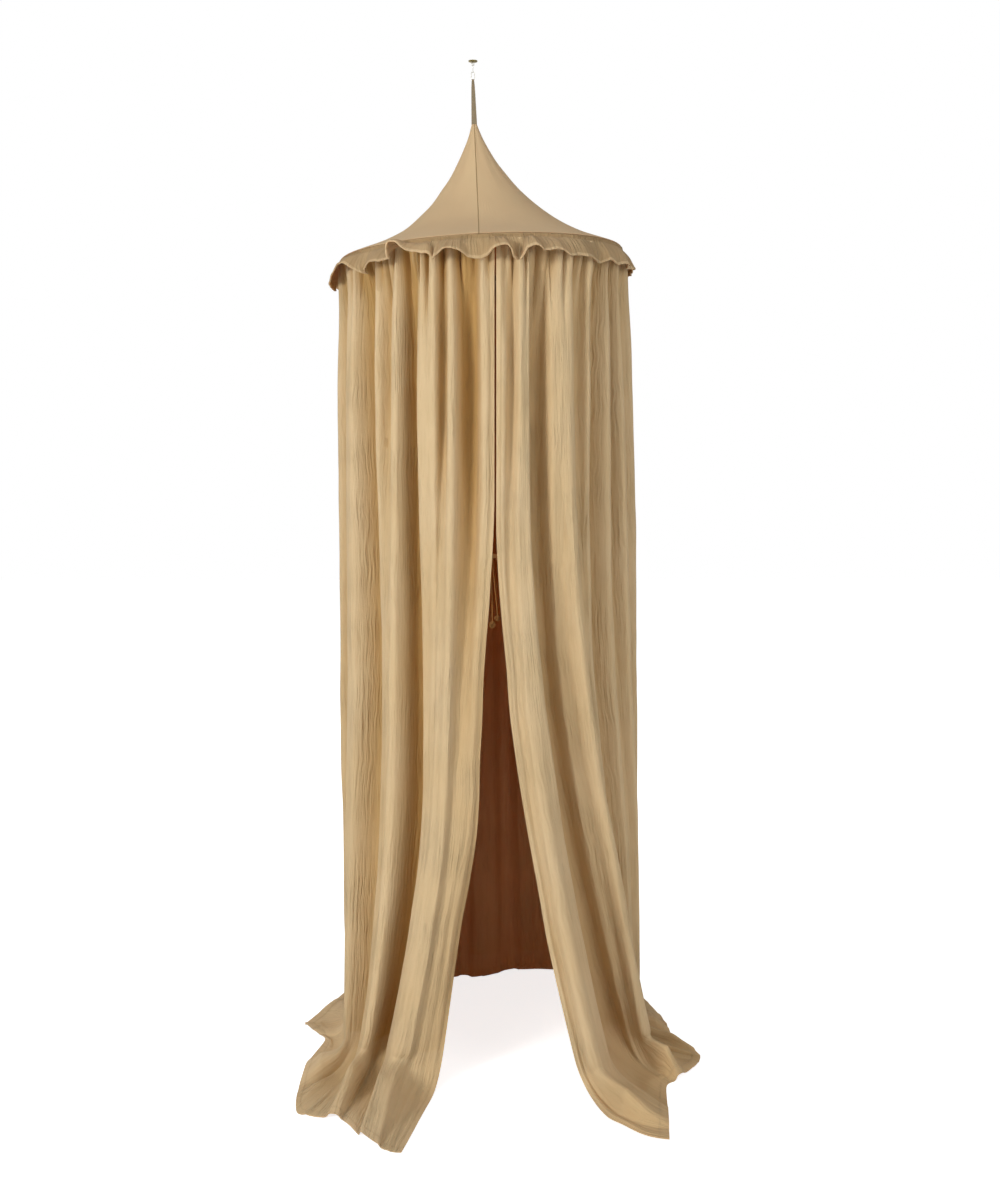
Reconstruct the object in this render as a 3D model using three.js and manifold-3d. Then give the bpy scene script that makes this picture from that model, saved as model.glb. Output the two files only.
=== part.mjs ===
// A bed crown canopy that hangs from a ceiling fitting: a small chain and a ribbon carry a hoop
// with a concave fabric roof, a wavy ruffle and a ring of long curtains that spread on the floor.
// Millimetres, +Z up. The origin is the middle of the ceiling plate's top face, and the opening
// of the curtains looks towards -Y. "Left" and "right" are as seen from the front.
import * as THREE from 'three';
import { mergeVertices } from 'three/addons/utils/BufferGeometryUtils.js';
import Module from 'manifold-3d';

const wasm = await Module();
wasm.setup();

// Fits
const clearance = 0.3;

// Ceiling plate and eye
const plateDiameter = 20;
const plateThickness = 3;
const plateRim = 1.2;
const plateBossDiameter = 8;
const shankDiameter = 2.4;
const eyeNeckLength = 1.6;
const eyeInnerDiameter = 4;
const wireDiameter = 1.5;

// Chain links
const upperLinkInnerLength = 16;
const upperLinkInnerWidth = 3.2;
const lowerLinkInnerLength = 17;
const lowerLinkInnerWidth = 5.4;

// Hanging ribbon
const ribbonTopWidth = 4;
const ribbonBottomWidth = 12;
const ribbonFabric = 1;
const ribbonLength = 99;

// Hoop, its ferrules and its casing
const hoopDiameter = 600;
const hoopRodDiameter = 6;
const ferruleWall = 0.8;
const ferruleLength = 26;
const casingFabric = 1.4;
const casingSlotDegrees = 70;

// Roof
const roofHeight = 293;
const roofFabric = 1.5;
const roofTipDiameter = 12;
const crownTiltDegrees = 2.9;
const crownShift = 3;

// Ruffle
const ruffleFabric = 1.5;
const ruffleBandHeight = 8;
const ruffleWidth = 48;

// Curtains
const curtainFabric = 2;
const curtainStandOff = 2;
const headFoldDepth = 3;
const upperFoldDepth = 14;
const middleFoldDepth = 20;
const lowerFoldDepth = 26;
const valleyShare = 2;
const floorBend = 70;
const floorRidge = 45;
const hemRidge = 9;
const floorDrop = 2100;
const openingDegrees = 4.5;
const openingGap = 5;

// Tie in the opening
const tieDrop = 1063;
const tieTabLength = 16;
const tieTabWidth = 8;
const tieTabThickness = 1.5;
const tieTabReach = 3;
const knotDiameter = 8;
const knotHeight = 13;
const tieCordDiameter = 2;
const largePompomDiameter = 14;
const smallPompomDiameter = 12;

const turn = THREE.MathUtils.degToRad;
const hoopRadius = hoopDiameter / 2;
const curtainRadius = hoopRadius + curtainStandOff;

// Materials
const cotton = { color: '#b99b6b', roughness: 0.95, metalness: 0 };
const roofCotton = { color: '#bea57a', roughness: 0.95, metalness: 0 };
const ribbonCotton = { color: '#877d64', roughness: 0.95, metalness: 0 };
const agedBrass = { color: '#695f37', roughness: 0.45, metalness: 1 };
const steel = { color: '#a6a49c', roughness: 0.35, metalness: 1 };
const cane = { color: '#b08a55', roughness: 0.7, metalness: 0 };
const wool = { color: '#a07c45', roughness: 1, metalness: 0 };

function piece(name, geometry, finish) {
  const mesh = new THREE.Mesh(geometry, new THREE.MeshStandardMaterial(finish));
  mesh.name = name;
  return mesh;
}

// Values between the rows of a table whose first column rises
function along(table, at, column) {
  let row = 1;
  while (row < table.length - 1 && table[row][0] < at) row += 1;
  const [before, after] = [table[row - 1], table[row]];
  const share = THREE.MathUtils.clamp((at - before[0]) / (after[0] - before[0]), 0, 1);
  return THREE.MathUtils.lerp(before[column], after[column], share);
}

// A closed mesh from points and faces
function solidFrom(points, faces) {
  const geometry = new THREE.BufferGeometry();
  geometry.setAttribute('position', new THREE.Float32BufferAttribute(points.flatMap((p) => p.toArray()), 3));
  geometry.setIndex(faces.flat());
  geometry.computeVertexNormals();
  return geometry;
}

// Four-cornered face as two triangles
const quad = (a, b, c, d) => [[a, b, c], [a, c, d]];

// Cloth: a grid of points down and across, given a thickness along its normals. A seam keeps
// its end wall in one plane, so the two cloths that meet there stay parallel.
function clothSolid(grid, thickness, { round = false, seamAxis = {}, lowest = -Infinity } = {}) {
  const rows = grid.length;
  const columns = grid[0].length;
  const columnAt = (c) => (round ? (c + columns) % columns : THREE.MathUtils.clamp(c, 0, columns - 1));
  const rowAt = (r) => THREE.MathUtils.clamp(r, 0, rows - 1);
  const sides = [[], []];
  for (let r = 0; r < rows; r += 1) {
    for (let c = 0; c < columns; c += 1) {
      const across = grid[r][columnAt(c + 1)].clone().sub(grid[r][columnAt(c - 1)]);
      const down = grid[rowAt(r + 1)][c].clone().sub(grid[rowAt(r - 1)][c]);
      const normal = down.cross(across).normalize();
      const axis = seamAxis[c];
      if (axis) normal.addScaledVector(axis, -normal.dot(axis)).normalize();
      for (const [index, sign] of [[0, 1], [1, -1]]) {
        const point = grid[r][c].clone().addScaledVector(normal, (sign * thickness) / 2);
        point.z = Math.max(point.z, lowest);
        sides[index].push(point);
      }
    }
  }
  const count = rows * columns;
  const at = (side, r, c) => side * count + r * columns + columnAt(c);
  const faces = [];
  const acrossSteps = round ? columns : columns - 1;
  for (let c = 0; c < acrossSteps; c += 1) {
    for (let r = 0; r < rows - 1; r += 1) {
      faces.push(...quad(at(0, r, c), at(0, r + 1, c), at(0, r + 1, c + 1), at(0, r, c + 1)));
      faces.push(...quad(at(1, r, c), at(1, r, c + 1), at(1, r + 1, c + 1), at(1, r + 1, c)));
    }
    faces.push(...quad(at(0, 0, c), at(0, 0, c + 1), at(1, 0, c + 1), at(1, 0, c)));
    const end = rows - 1;
    faces.push(...quad(at(0, end, c), at(1, end, c), at(1, end, c + 1), at(0, end, c + 1)));
  }
  if (!round) {
    for (let r = 0; r < rows - 1; r += 1) {
      const end = columns - 1;
      faces.push(...quad(at(0, r, 0), at(1, r, 0), at(1, r + 1, 0), at(0, r + 1, 0)));
      faces.push(...quad(at(0, r, end), at(0, r + 1, end), at(1, r + 1, end), at(1, r, end)));
    }
  }
  return solidFrom([...sides[0], ...sides[1]], faces);
}

// A round or shaped section carried along stations, each with its centre and two directions
function sweptSolid(stations, section, closed) {
  const points = stations.flatMap(({ centre, side, up }) =>
    section.map(([a, b]) => centre.clone().addScaledVector(side, a).addScaledVector(up, b)));
  const count = section.length;
  const at = (s, k) => (s % stations.length) * count + (k % count);
  const faces = [];
  const steps = closed ? stations.length : stations.length - 1;
  for (let s = 0; s < steps; s += 1) {
    for (let k = 0; k < count; k += 1) faces.push(...quad(at(s, k), at(s, k + 1), at(s + 1, k + 1), at(s + 1, k)));
  }
  if (!closed) {
    for (let k = 1; k < count - 1; k += 1) {
      faces.push([at(0, 0), at(0, k + 1), at(0, k)]);
      const end = stations.length - 1;
      faces.push([at(end, 0), at(end, k), at(end, k + 1)]);
    }
  }
  return solidFrom(points, faces);
}

function circleSection(radius, sides) {
  return Array.from({ length: sides }, (_, k) => {
    const angle = (2 * Math.PI * k) / sides;
    return [radius * Math.cos(angle), radius * Math.sin(angle)];
  });
}

// Boolean join of two closed meshes
function toManifold(geometry) {
  const bare = geometry.clone();
  bare.deleteAttribute('normal');
  bare.deleteAttribute('uv');
  const merged = mergeVertices(bare);
  return new wasm.Manifold(new wasm.Mesh({
    numProp: 3,
    vertProperties: new Float32Array(merged.attributes.position.array),
    triVerts: new Uint32Array(merged.index.array),
  }));
}

function fromManifold(solid) {
  const mesh = solid.getMesh();
  const geometry = new THREE.BufferGeometry();
  geometry.setAttribute('position', new THREE.Float32BufferAttribute(mesh.vertProperties, 3));
  geometry.setIndex(Array.from(mesh.triVerts));
  geometry.computeVertexNormals();
  return geometry;
}

// Levels of the hanging chain, from the ceiling down
const wireRadius = wireDiameter / 2;
const eyeRingRadius = eyeInnerDiameter / 2 + wireRadius;
const eyeCentre = -(plateThickness + eyeNeckLength + eyeRingRadius);
const eyeSeat = eyeCentre - eyeInnerDiameter / 2;
const upperLinkTop = eyeSeat + clearance + wireRadius;
const upperLinkBottom = upperLinkTop - upperLinkInnerLength - wireDiameter;
const lowerLinkTop = upperLinkBottom + wireDiameter + clearance;
const lowerLinkBottom = lowerLinkTop - lowerLinkInnerLength - wireDiameter;
const lowerLinkBend = (lowerLinkInnerWidth + wireDiameter) / 2;
const ribbonSeatRise = lowerLinkBend - Math.sqrt(lowerLinkBend ** 2 - (ribbonTopWidth / 2) ** 2);
const ribbonLoopRadius = wireRadius + clearance + ribbonFabric / 2;
const ribbonLoopCentre = lowerLinkBottom + ribbonSeatRise;
const ribbonTop = ribbonLoopCentre + ribbonLoopRadius + ribbonFabric / 2;
const ribbonEnd = ribbonTop - ribbonLength;
const roofTipRadius = roofTipDiameter / 2;
const crownTilt = turn(crownTiltDegrees);
const roofTip = ribbonEnd - clearance - roofTipRadius * Math.tan(crownTilt);

// The crown leans: what is built round its own axis is carried by this group
const crown = new THREE.Group();
crown.position.set(crownShift, 0, roofTip);
crown.rotation.y = -crownTilt;
crown.updateMatrixWorld(true);

// Ceiling plate: a low domed rosette with a hole for the eye's shank
function ceilingPlate() {
  const hole = shankDiameter / 2 + clearance;
  const outer = plateDiameter / 2;
  const boss = plateBossDiameter / 2;
  const domeSteps = 6;
  const profile = [new THREE.Vector2(hole, -plateThickness), new THREE.Vector2(boss, -plateThickness)];
  for (let k = 1; k <= domeSteps; k += 1) {
    const angle = (Math.PI / 2) * (k / domeSteps);
    const across = boss + (outer - boss) * Math.sin(angle);
    const down = plateRim + (plateThickness - plateRim) * Math.cos(angle);
    profile.push(new THREE.Vector2(across, -down));
  }
  profile.push(new THREE.Vector2(outer, 0), new THREE.Vector2(hole, 0), profile[0].clone());
  return new THREE.LatheGeometry(profile, 36).rotateX(Math.PI / 2);
}

// Screw eye: a ring of wire on a neck whose shank fills the plate's hole
function screwEye() {
  const ring = new THREE.TorusGeometry(eyeRingRadius, wireRadius, 8, 20);
  ring.rotateX(Math.PI / 2).translate(0, 0, eyeCentre);
  const neckBottom = eyeCentre + eyeRingRadius;
  const neck = new THREE.CylinderGeometry(shankDiameter / 2, shankDiameter / 2, -neckBottom, 16);
  neck.rotateX(Math.PI / 2).translate(0, 0, neckBottom / 2);
  return fromManifold(toManifold(ring).add(toManifold(neck)));
}

// Long link: a wire round two half circles and two straight sides, standing in a plane
function linkSolid(innerLength, innerWidth, top, widthAxis) {
  const bend = (innerWidth + wireDiameter) / 2;
  const straight = innerLength + wireDiameter - 2 * bend;
  const bendSteps = 7;
  const plane = new THREE.Vector3(0, 0, 1).cross(widthAxis);
  const stations = [];
  for (const [middle, from] of [[top - bend, 0], [top - bend - straight, Math.PI]]) {
    for (let k = 0; k <= bendSteps; k += 1) {
      const angle = from + (Math.PI * k) / bendSteps;
      const side = widthAxis.clone().multiplyScalar(Math.cos(angle));
      side.z += Math.sin(angle);
      const centre = side.clone().multiplyScalar(bend);
      centre.z += middle;
      stations.push({ centre, side, up: plane });
    }
  }
  return sweptSolid(stations, circleSection(wireRadius, 8), true);
}

// Hanging ribbon: a strap folded over the lower link, drawn in at the top, its two layers
// lying together lower down, where they lean towards the tip of the roof
const ribbonShares = [
  [0, 0],
  [0.06, 0.2],
  [0.2, 0.45],
  [0.5, 0.68],
  [1, 1],
];

function ribbonSolid() {
  const roundSteps = 6;
  const looped = wireRadius + clearance;
  const closing = 4 * ribbonLoopRadius;
  const loopEnd = lowerLinkBottom - looped;
  const width = (z) => THREE.MathUtils.lerp(
    ribbonTopWidth, ribbonBottomWidth, along(ribbonShares, (ribbonTop - z) / ribbonLength, 1));
  const flat = (clearance + ribbonFabric) / 2;
  const reach = (z) => {
    const open = 1 - (loopEnd - z) / closing;
    return THREE.MathUtils.lerp(flat, ribbonLoopRadius, THREE.MathUtils.smoothstep(open, 0, 1));
  };
  const legShares = [1, 0.7, 0.45, 0.25, 0.12, 0.05, 0];
  const leg = legShares.map((share) => loopEnd - (loopEnd - ribbonEnd) * share);
  const line = leg.map((z) => new THREE.Vector3(0, -reach(z), z));
  for (let k = 0; k <= roundSteps; k += 1) {
    const angle = (Math.PI * k) / roundSteps;
    const rise = ribbonLoopRadius * Math.sin(angle);
    line.push(new THREE.Vector3(0, -ribbonLoopRadius * Math.cos(angle), ribbonLoopCentre + rise));
  }
  line.push(...leg.map((z) => new THREE.Vector3(0, reach(z), z)).reverse());
  const lean = (z) => (crownShift * Math.max(0, loopEnd - z)) / (loopEnd - ribbonEnd);
  const acrossShares = [-0.5, 0, 0.5];
  const grid = line.map((p) => acrossShares.map((share) =>
    new THREE.Vector3(lean(p.z) + share * width(p.z), p.y, p.z)));
  return clothSolid(grid.reverse(), ribbonFabric);
}

// The hoop is drawn with straight facets, and all that follows it uses the same ones
const hoopFacets = 36;
const facetAngle = (2 * Math.PI) / hoopFacets;

function facetedRadius(radius, angle) {
  const within = ((angle % facetAngle) + facetAngle) % facetAngle;
  return (radius * Math.cos(facetAngle / 2)) / Math.cos(within - facetAngle / 2);
}

// A point round the crown's own axis: the angle starts at the front and rises to the right
function aroundCrown(radius, angle, height) {
  return new THREE.Vector3(radius * Math.sin(angle), -radius * Math.cos(angle), height);
}

function hoopStations(from, to) {
  const angles = [from];
  for (let k = Math.ceil(from / facetAngle + 1e-6); k * facetAngle < to - 1e-6; k += 1) angles.push(k * facetAngle);
  angles.push(to);
  return angles.map((angle) => ({
    centre: aroundCrown(facetedRadius(hoopRadius, angle), angle, -roofHeight),
    side: aroundCrown(1, angle, 0),
    up: new THREE.Vector3(0, 0, 1),
  }));
}

// Two half hoops meet inside a ferrule on each side
function hoopArc(side) {
  const halfGap = clearance / hoopRadius;
  const middle = side < 0 ? -Math.PI / 2 : Math.PI / 2;
  const quarter = Math.PI / 2;
  const stations = hoopStations(middle - quarter + halfGap, middle + quarter - halfGap);
  return sweptSolid(stations, circleSection(hoopRodDiameter / 2, 8).reverse(), false);
}

const ferruleBore = hoopRodDiameter / 2 + clearance;
const ferruleOuter = ferruleBore + ferruleWall;

function hoopFerrule(middle) {
  const half = ferruleLength / 2 / hoopRadius;
  const stations = hoopStations(middle - half, middle + half);
  const wide = sweptSolid(stations, circleSection(ferruleOuter, 12).reverse(), false);
  const longer = hoopStations(middle - 2 * half, middle + 2 * half);
  const bore = sweptSolid(longer, circleSection(ferruleBore, 12).reverse(), false);
  return fromManifold(toManifold(wide).subtract(toManifold(bore)));
}

// Casing: a tunnel of fabric round the hoop, open along its underside
const casingInner = ferruleOuter + clearance;
const casingOuter = casingInner + casingFabric;

function hoopCasing() {
  const steps = 7;
  const slot = turn(casingSlotDegrees) / 2;
  const arc = (radius, from, to) => Array.from({ length: steps + 1 }, (_, k) => {
    const angle = from + ((to - from) * k) / steps;
    return new THREE.Vector2(hoopRadius + radius * Math.sin(angle), -roofHeight - radius * Math.cos(angle));
  });
  const profile = [...arc(casingOuter, slot, 2 * Math.PI - slot), ...arc(casingInner, 2 * Math.PI - slot, slot)];
  profile.push(profile[0].clone());
  return new THREE.LatheGeometry(profile, hoopFacets).rotateX(Math.PI / 2);
}

// Roof: two gores with a seam at the front and one at the back. The cloth is drawn inwards
// between the tip and the hoop, a little more on the left, where the crown hangs lower.
// Columns: how far down, how far out on the left, how far out on the right
const roofShares = [
  [0, 0, 0],
  [0.1, 0.03, 0.034],
  [0.2, 0.073, 0.08],
  [0.3, 0.122, 0.134],
  [0.4, 0.177, 0.201],
  [0.5, 0.249, 0.274],
  [0.6, 0.322, 0.364],
  [0.7, 0.422, 0.471],
  [0.8, 0.54, 0.6],
  [0.9, 0.73, 0.77],
  [1, 1, 1],
];

// The cloth meets the casing at the first of these angles and ends at the last
const roofWrapDegrees = [68, 56, 45];
const roofEdgeReach = casingOuter + clearance + roofFabric / 2;

function roofEdge(degrees) {
  return [hoopRadius + roofEdgeReach * Math.cos(turn(degrees)), roofHeight - roofEdgeReach * Math.sin(turn(degrees))];
}

function roofGore(side) {
  const columns = hoopFacets / 2;
  const tipEdge = roofTipRadius - roofFabric / 2;
  const [edgeRadius, edgeDrop] = roofEdge(roofWrapDegrees[0]);
  const rows = roofShares.map(([down, left, right]) => (angle) => {
    const out = THREE.MathUtils.lerp(left, right, (1 + Math.sin(angle)) / 2);
    return [THREE.MathUtils.lerp(tipEdge, edgeRadius, out), down * edgeDrop];
  });
  for (const degrees of roofWrapDegrees.slice(1)) rows.push(() => roofEdge(degrees));
  const grid = rows.map((row) => Array.from({ length: columns + 1 }, (_, k) => {
    const angle = side < 0 ? -Math.PI + k * facetAngle : k * facetAngle;
    const [radius, drop] = row(angle);
    const point = aroundCrown(radius, angle, -drop);
    if (k === 0 || k === columns) point.x = (side * clearance) / 2;
    return point;
  }));
  const across = new THREE.Vector3(1, 0, 0);
  return clothSolid(grid, roofFabric, { seamAxis: { 0: across, [columns]: across } });
}

// Ruffle: a band round the casing that flares out in uneven waves. Columns: how far round from
// the back, past the left side and the front, and how far the cloth stands out there from
// hanging straight down, as a share of a quarter turn.
const ruffleShares = [
  [0, 0.58], [0.0194, 0.33], [0.0417, 0.76], [0.0611, 0.27], [0.0861, 0.69], [0.1056, 0.38],
  [0.1278, 0.8], [0.1472, 0.29], [0.1694, 0.73], [0.1917, 0.44], [0.2111, 0.8], [0.2319, 0.36],
  [0.2639, 0.42], [0.2972, 0.51], [0.325, 0.67], [0.3472, 0.83], [0.3583, 0.51], [0.3681, 0.21],
  [0.3764, 0.47], [0.3917, 0.68], [0.4139, 0.66], [0.4189, 1.13], [0.4272, 0.92], [0.4383, 0.78],
  [0.4486, 0.69], [0.4536, 0.43], [0.4597, 0.6], [0.4703, 0.8], [0.4792, 0.73], [0.4875, 0.47],
  [0.5, 0.36], [0.5097, 0.53], [0.5153, 0.76], [0.5222, 0.8], [0.5278, 0.46], [0.5381, 0.21],
  [0.545, 0.29], [0.5478, 0.68], [0.5517, 0.81], [0.5603, 0.62], [0.5769, 0.66], [0.5917, 0.49],
  [0.6111, 0.5], [0.6417, 0.21], [0.6486, 0.46], [0.6681, 0.33], [0.6889, 0.47], [0.7083, 0.31],
  [0.725, 0.47], [0.7444, 0.38], [0.7708, 0.33], [0.7917, 0.71], [0.8111, 0.31], [0.8361, 0.78],
  [0.8528, 0.38], [0.8778, 0.67], [0.8944, 0.24], [0.9167, 0.73], [0.9389, 0.33], [0.9611, 0.8],
  [0.9806, 0.4], [1, 0.58],
];

function ruffleSolid() {
  const bandRadius = hoopRadius + casingOuter + clearance + ruffleFabric / 2;
  const columns = 3 * hoopFacets;
  const rowShares = [0, 0.5, 1];
  const angles = Array.from({ length: columns }, (_, c) => (2 * Math.PI * c) / columns);
  const band = angles.map((angle) =>
    aroundCrown(facetedRadius(bandRadius, angle), angle, ruffleBandHeight / 4 - roofHeight));
  const flare = rowShares.map((share) => angles.map((angle, c) => {
    const fromBack = (c / columns + 1 / 2) % 1;
    const lean = (Math.PI / 2) * along(ruffleShares, fromBack, 1);
    const out = share * ruffleWidth * Math.sin(lean);
    const down = ruffleBandHeight / 2 + share * ruffleWidth * Math.cos(lean);
    return aroundCrown(facetedRadius(bandRadius, angle) + out, angle, -roofHeight - down);
  }));
  return clothSolid([band, ...flare], ruffleFabric, { round: true });
}

// Curtains. Each panel hangs from its arc of the hoop, lands on the floor along one line and
// spreads to its hem along another; both lines are shares of the curtain's radius about the
// point under the hoop's middle. Columns: how far across the panel, then right and back.
// The bow is how far the way between them curves aside. The sweep says from how far down the
// cloth leaves its plumb line towards the landing, and how late it turns.
const halfOpeningDegrees = THREE.MathUtils.radToDeg(openingGap / 2 / curtainRadius);

const frontLeft = {
  name: 'curtain_front_left',
  fromDegrees: -90,
  toDegrees: openingDegrees - halfOpeningDegrees,
  landingShares: [
    [0, -0.925, 0],
    [0.1, -0.94, -0.3],
    [0.26, -0.885, -0.72],
    [0.44, -0.87, -0.78],
    [0.59, -0.79, -0.93],
    [0.75, -0.63, -0.94],
    [0.84, -0.56, -1.08],
    [1, -0.26, -1.05],
  ],
  hemShares: [
    [0, -1.27, 0],
    [0.08, -1.16, -0.17],
    [0.17, -1.09, -0.3],
    [0.27, -1.16, -0.76],
    [0.36, -1.16, -1.16],
    [0.46, -1.12, -1.46],
    [0.56, -0.96, -1.53],
    [0.64, -0.85, -1.56],
    [0.78, -0.69, -1.79],
    [0.9, -0.56, -1.95],
    [1, -0.44, -2],
  ],
  bowShares: [[0, 0, 0], [1, 0, 0]],
  sweepShares: [[0, 0.4, 3.2], [0.6, 0.4, 3], [1, 0.38, 1.6]],
  // Columns: place across at the top, the middle and the foot, then fold depth at each
  foldShares: [
    [0, 0, 0, -0.4, -0.4, -0.3],
    [0.07, 0.07, 0.07, 0.7, 0.3, 0.1],
    [0.16, 0.16, 0.16, -0.8, -0.7, -0.5],
    [0.31, 0.34, 0.3, 1, 0.9, 0.55],
    [0.455, 0.48, 0.46, -1.1, -0.8, -0.7],
    [0.5, 0.53, 0.53, 0.8, 0.3, 0],
    [0.553, 0.56, 0.56, -0.4, 0.4, 0.1],
    [0.6, 0.6, 0.6, 1, 1, 0.9],
    [0.668, 0.675, 0.725, -1.1, -1.1, -1],
    [0.71, 0.735, 0.785, 0.6, 0.1, 0.8],
    [0.775, 0.78, 0.815, 0.9, 0.4, 0.9],
    [0.803, 0.8, 0.835, -0.5, 0.6, 0.9],
    [0.84, 0.84, 0.87, 0.9, 1, 0.9],
    [0.905, 0.905, 0.92, -1, -0.2, 0.2],
    [0.965, 0.965, 0.965, 0.6, 0.1, 0],
    [1, 1, 1, 0, 0.15, -0.1],
  ],
};
const frontRight = {
  name: 'curtain_front_right',
  fromDegrees: openingDegrees + halfOpeningDegrees,
  toDegrees: 90,
  landingShares: [
    [0, 0.68, -1.3],
    [0.08, 0.77, -1.31],
    [0.26, 0.97, -0.72],
    [0.45, 1.12, -0.73],
    [0.62, 1.08, -0.4],
    [0.8, 1.09, -0.27],
    [1, 1.09, 0],
  ],
  hemShares: [
    [0, 1.145, -1.83],
    [0.15, 1.18, -1.46],
    [0.28, 1.22, -1.05],
    [0.46, 1.33, -0.94],
    [0.6, 1.48, -0.67],
    [0.72, 1.5, -0.57],
    [0.82, 1.45, -0.42],
    [0.92, 1.34, -0.22],
    [1, 1.34, 0],
  ],
  bowShares: [[0, -0.05, -0.13], [0.1, -0.04, -0.08], [0.28, 0, 0], [1, 0, 0]],
  sweepShares: [[0, 0.33, 1.7], [0.5, 0.3, 2], [0.85, 0, 0.5], [1, 0, 0.3]],
  foldShares: [
    [0, 0, 0, 0.2, 0.05, 0.2],
    [0.03, 0.02, 0.02, 0.7, 0.5, 0.3],
    [0.078, 0.05, 0.045, -0.3, 0.3, 0.2],
    [0.115, 0.09, 0.08, 0.8, 0.8, 1],
    [0.15, 0.155, 0.15, 0.7, 0.9, 0.6],
    [0.185, 0.2, 0.2, -0.8, -0.8, -0.6],
    [0.24, 0.255, 0.265, -1, -1, -1],
    [0.285, 0.32, 0.35, 0.4, -0.3, -0.1],
    [0.36, 0.4, 0.45, 0.9, 1, 1],
    [0.465, 0.46, 0.53, -0.5, 0.1, 0.2],
    [0.49, 0.48, 0.56, 0.4, 0.2, 0],
    [0.565, 0.565, 0.62, -0.8, -0.8, -0.6],
    [0.65, 0.64, 0.7, 0.8, 0.3, 0.2],
    [0.7, 0.69, 0.75, -0.8, -0.3, 0],
    [0.757, 0.745, 0.8, 0.8, 0.8, 0.5],
    [0.85, 0.84, 0.88, -0.6, -0.5, -0.4],
    [0.94, 0.94, 0.95, 1, 0.9, 0.5],
    [1, 1, 1, -0.4, -0.4, -0.3],
  ],
};

// The folds of the back repeat, each drawn a little from its even place
function evenFolds(driftShares) {
  const count = driftShares.length + 1;
  const folds = driftShares.map((drift, k) => {
    const place = (k + 1 + drift) / count;
    const depth = k % 2 === 0 ? 0.6 : -0.6;
    return [place, place, place, depth, depth, 0.7 * depth];
  });
  return [[0, 0, 0, -0.4, -0.4, -0.3], ...folds, [1, 1, 1, -0.4, -0.4, -0.3]];
}

const backLeft = {
  name: 'curtain_back_left',
  fromDegrees: -180,
  toDegrees: -90,
  landingShares: [[0, 0, 0.93], [0.35, -0.43, 0.85], [0.7, -0.84, 0.53], [1, -0.925, 0]],
  hemShares: [[0, 0, 1.08], [0.35, -0.5, 1.06], [0.65, -0.95, 0.8], [0.86, -1.1, 0.5], [1, -1.27, 0]],
  bowShares: [[0, 0, 0], [1, 0, 0]],
  sweepShares: [[0, 0.3, 1.6], [1, 0.4, 3.2]],
  foldShares: evenFolds([0.2, -0.1, 0.3, 0, -0.3, 0.1, 0.2, -0.2, 0]),
};
const backRight = {
  name: 'curtain_back_right',
  fromDegrees: 90,
  toDegrees: 180,
  landingShares: [[0, 1.09, 0], [0.3, 1, 0.5], [0.6, 0.75, 0.95], [0.8, 0.42, 1.08], [1, 0, 0.93]],
  hemShares: [[0, 1.34, 0], [0.2, 1.28, 0.3], [0.45, 1.12, 0.8], [0.65, 0.8, 1.2], [0.8, 0.45, 1.3], [1, 0, 1.08]],
  bowShares: [[0, 0, 0], [1, 0, 0]],
  sweepShares: [[0, 0, 0.3], [0.4, 0.1, 1], [1, 0.3, 1.6]],
  foldShares: evenFolds([-0.1, 0.2, 0, -0.3, 0.1, 0.2, -0.2, 0.3, 0]),
};

const headHeight = -roofHeight - casingOuter - clearance;
const hoopMiddle = new THREE.Vector3(0, 0, -roofHeight).applyMatrix4(crown.matrixWorld);
const floorLevel = -floorDrop + curtainFabric / 2;
const foldLevelShares = [0, 0.12, 0.5, 0.85, 1];

function placeOnFloor(shares, across) {
  const x = hoopMiddle.x + along(shares, across, 1) * curtainRadius;
  return new THREE.Vector3(x, along(shares, across, 2) * curtainRadius, floorLevel);
}

// The way over the floor, from the landing (0) to the hem (1)
function floorPoint(panel, across, share) {
  const point = placeOnFloor(panel.landingShares, across).lerp(placeOnFloor(panel.hemShares, across), share);
  const bow = 4 * share * (1 - share) * curtainRadius;
  point.x += bow * along(panel.bowShares, across, 1);
  point.y += bow * along(panel.bowShares, across, 2);
  return point;
}

// The cloth without its folds, from the head (0) down to where it would land (1)
function hangingPoint(panel, across, drop) {
  const angle = turn(THREE.MathUtils.lerp(panel.fromDegrees, panel.toDegrees, across));
  const head = aroundCrown(curtainRadius, angle, headHeight).applyMatrix4(crown.matrixWorld);
  const landing = placeOnFloor(panel.landingShares, across);
  const held = along(panel.sweepShares, across, 1);
  const sweep = Math.max(0, (drop - held) / (1 - held)) ** along(panel.sweepShares, across, 2);
  const point = head.clone().lerp(landing, sweep);
  point.z = THREE.MathUtils.lerp(head.z, landing.z, drop);
  return point;
}

// Which way the folds stand out from the cloth
function outward(panel, across, drop) {
  const step = 0.02;
  const before = hangingPoint(panel, across - step, drop);
  const after = hangingPoint(panel, across + step, drop);
  return new THREE.Vector3(after.y - before.y, before.x - after.x, 0).normalize();
}

function foldAt(fold, drop, first) {
  const columns = [first, first, first + 1, first + 2, first + 2];
  return along(foldLevelShares.map((level, k) => [level, fold[columns[k]]]), drop, 1);
}

function foldDepth(drop) {
  const depths = [headFoldDepth, upperFoldDepth, middleFoldDepth, lowerFoldDepth, lowerFoldDepth];
  return along(foldLevelShares.map((level, k) => [level, depths[k]]), drop, 1);
}

const hangingRowShares = [0, 0.03, 0.08, 0.16, 0.28, 0.4, 0.52, 0.64, 0.76, 0.87];
const bendRowShares = [0, 0.35, 0.7, 1];
const mostBendShare = 0.6;
const floorRowShares = [0.5, 1];

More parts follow.
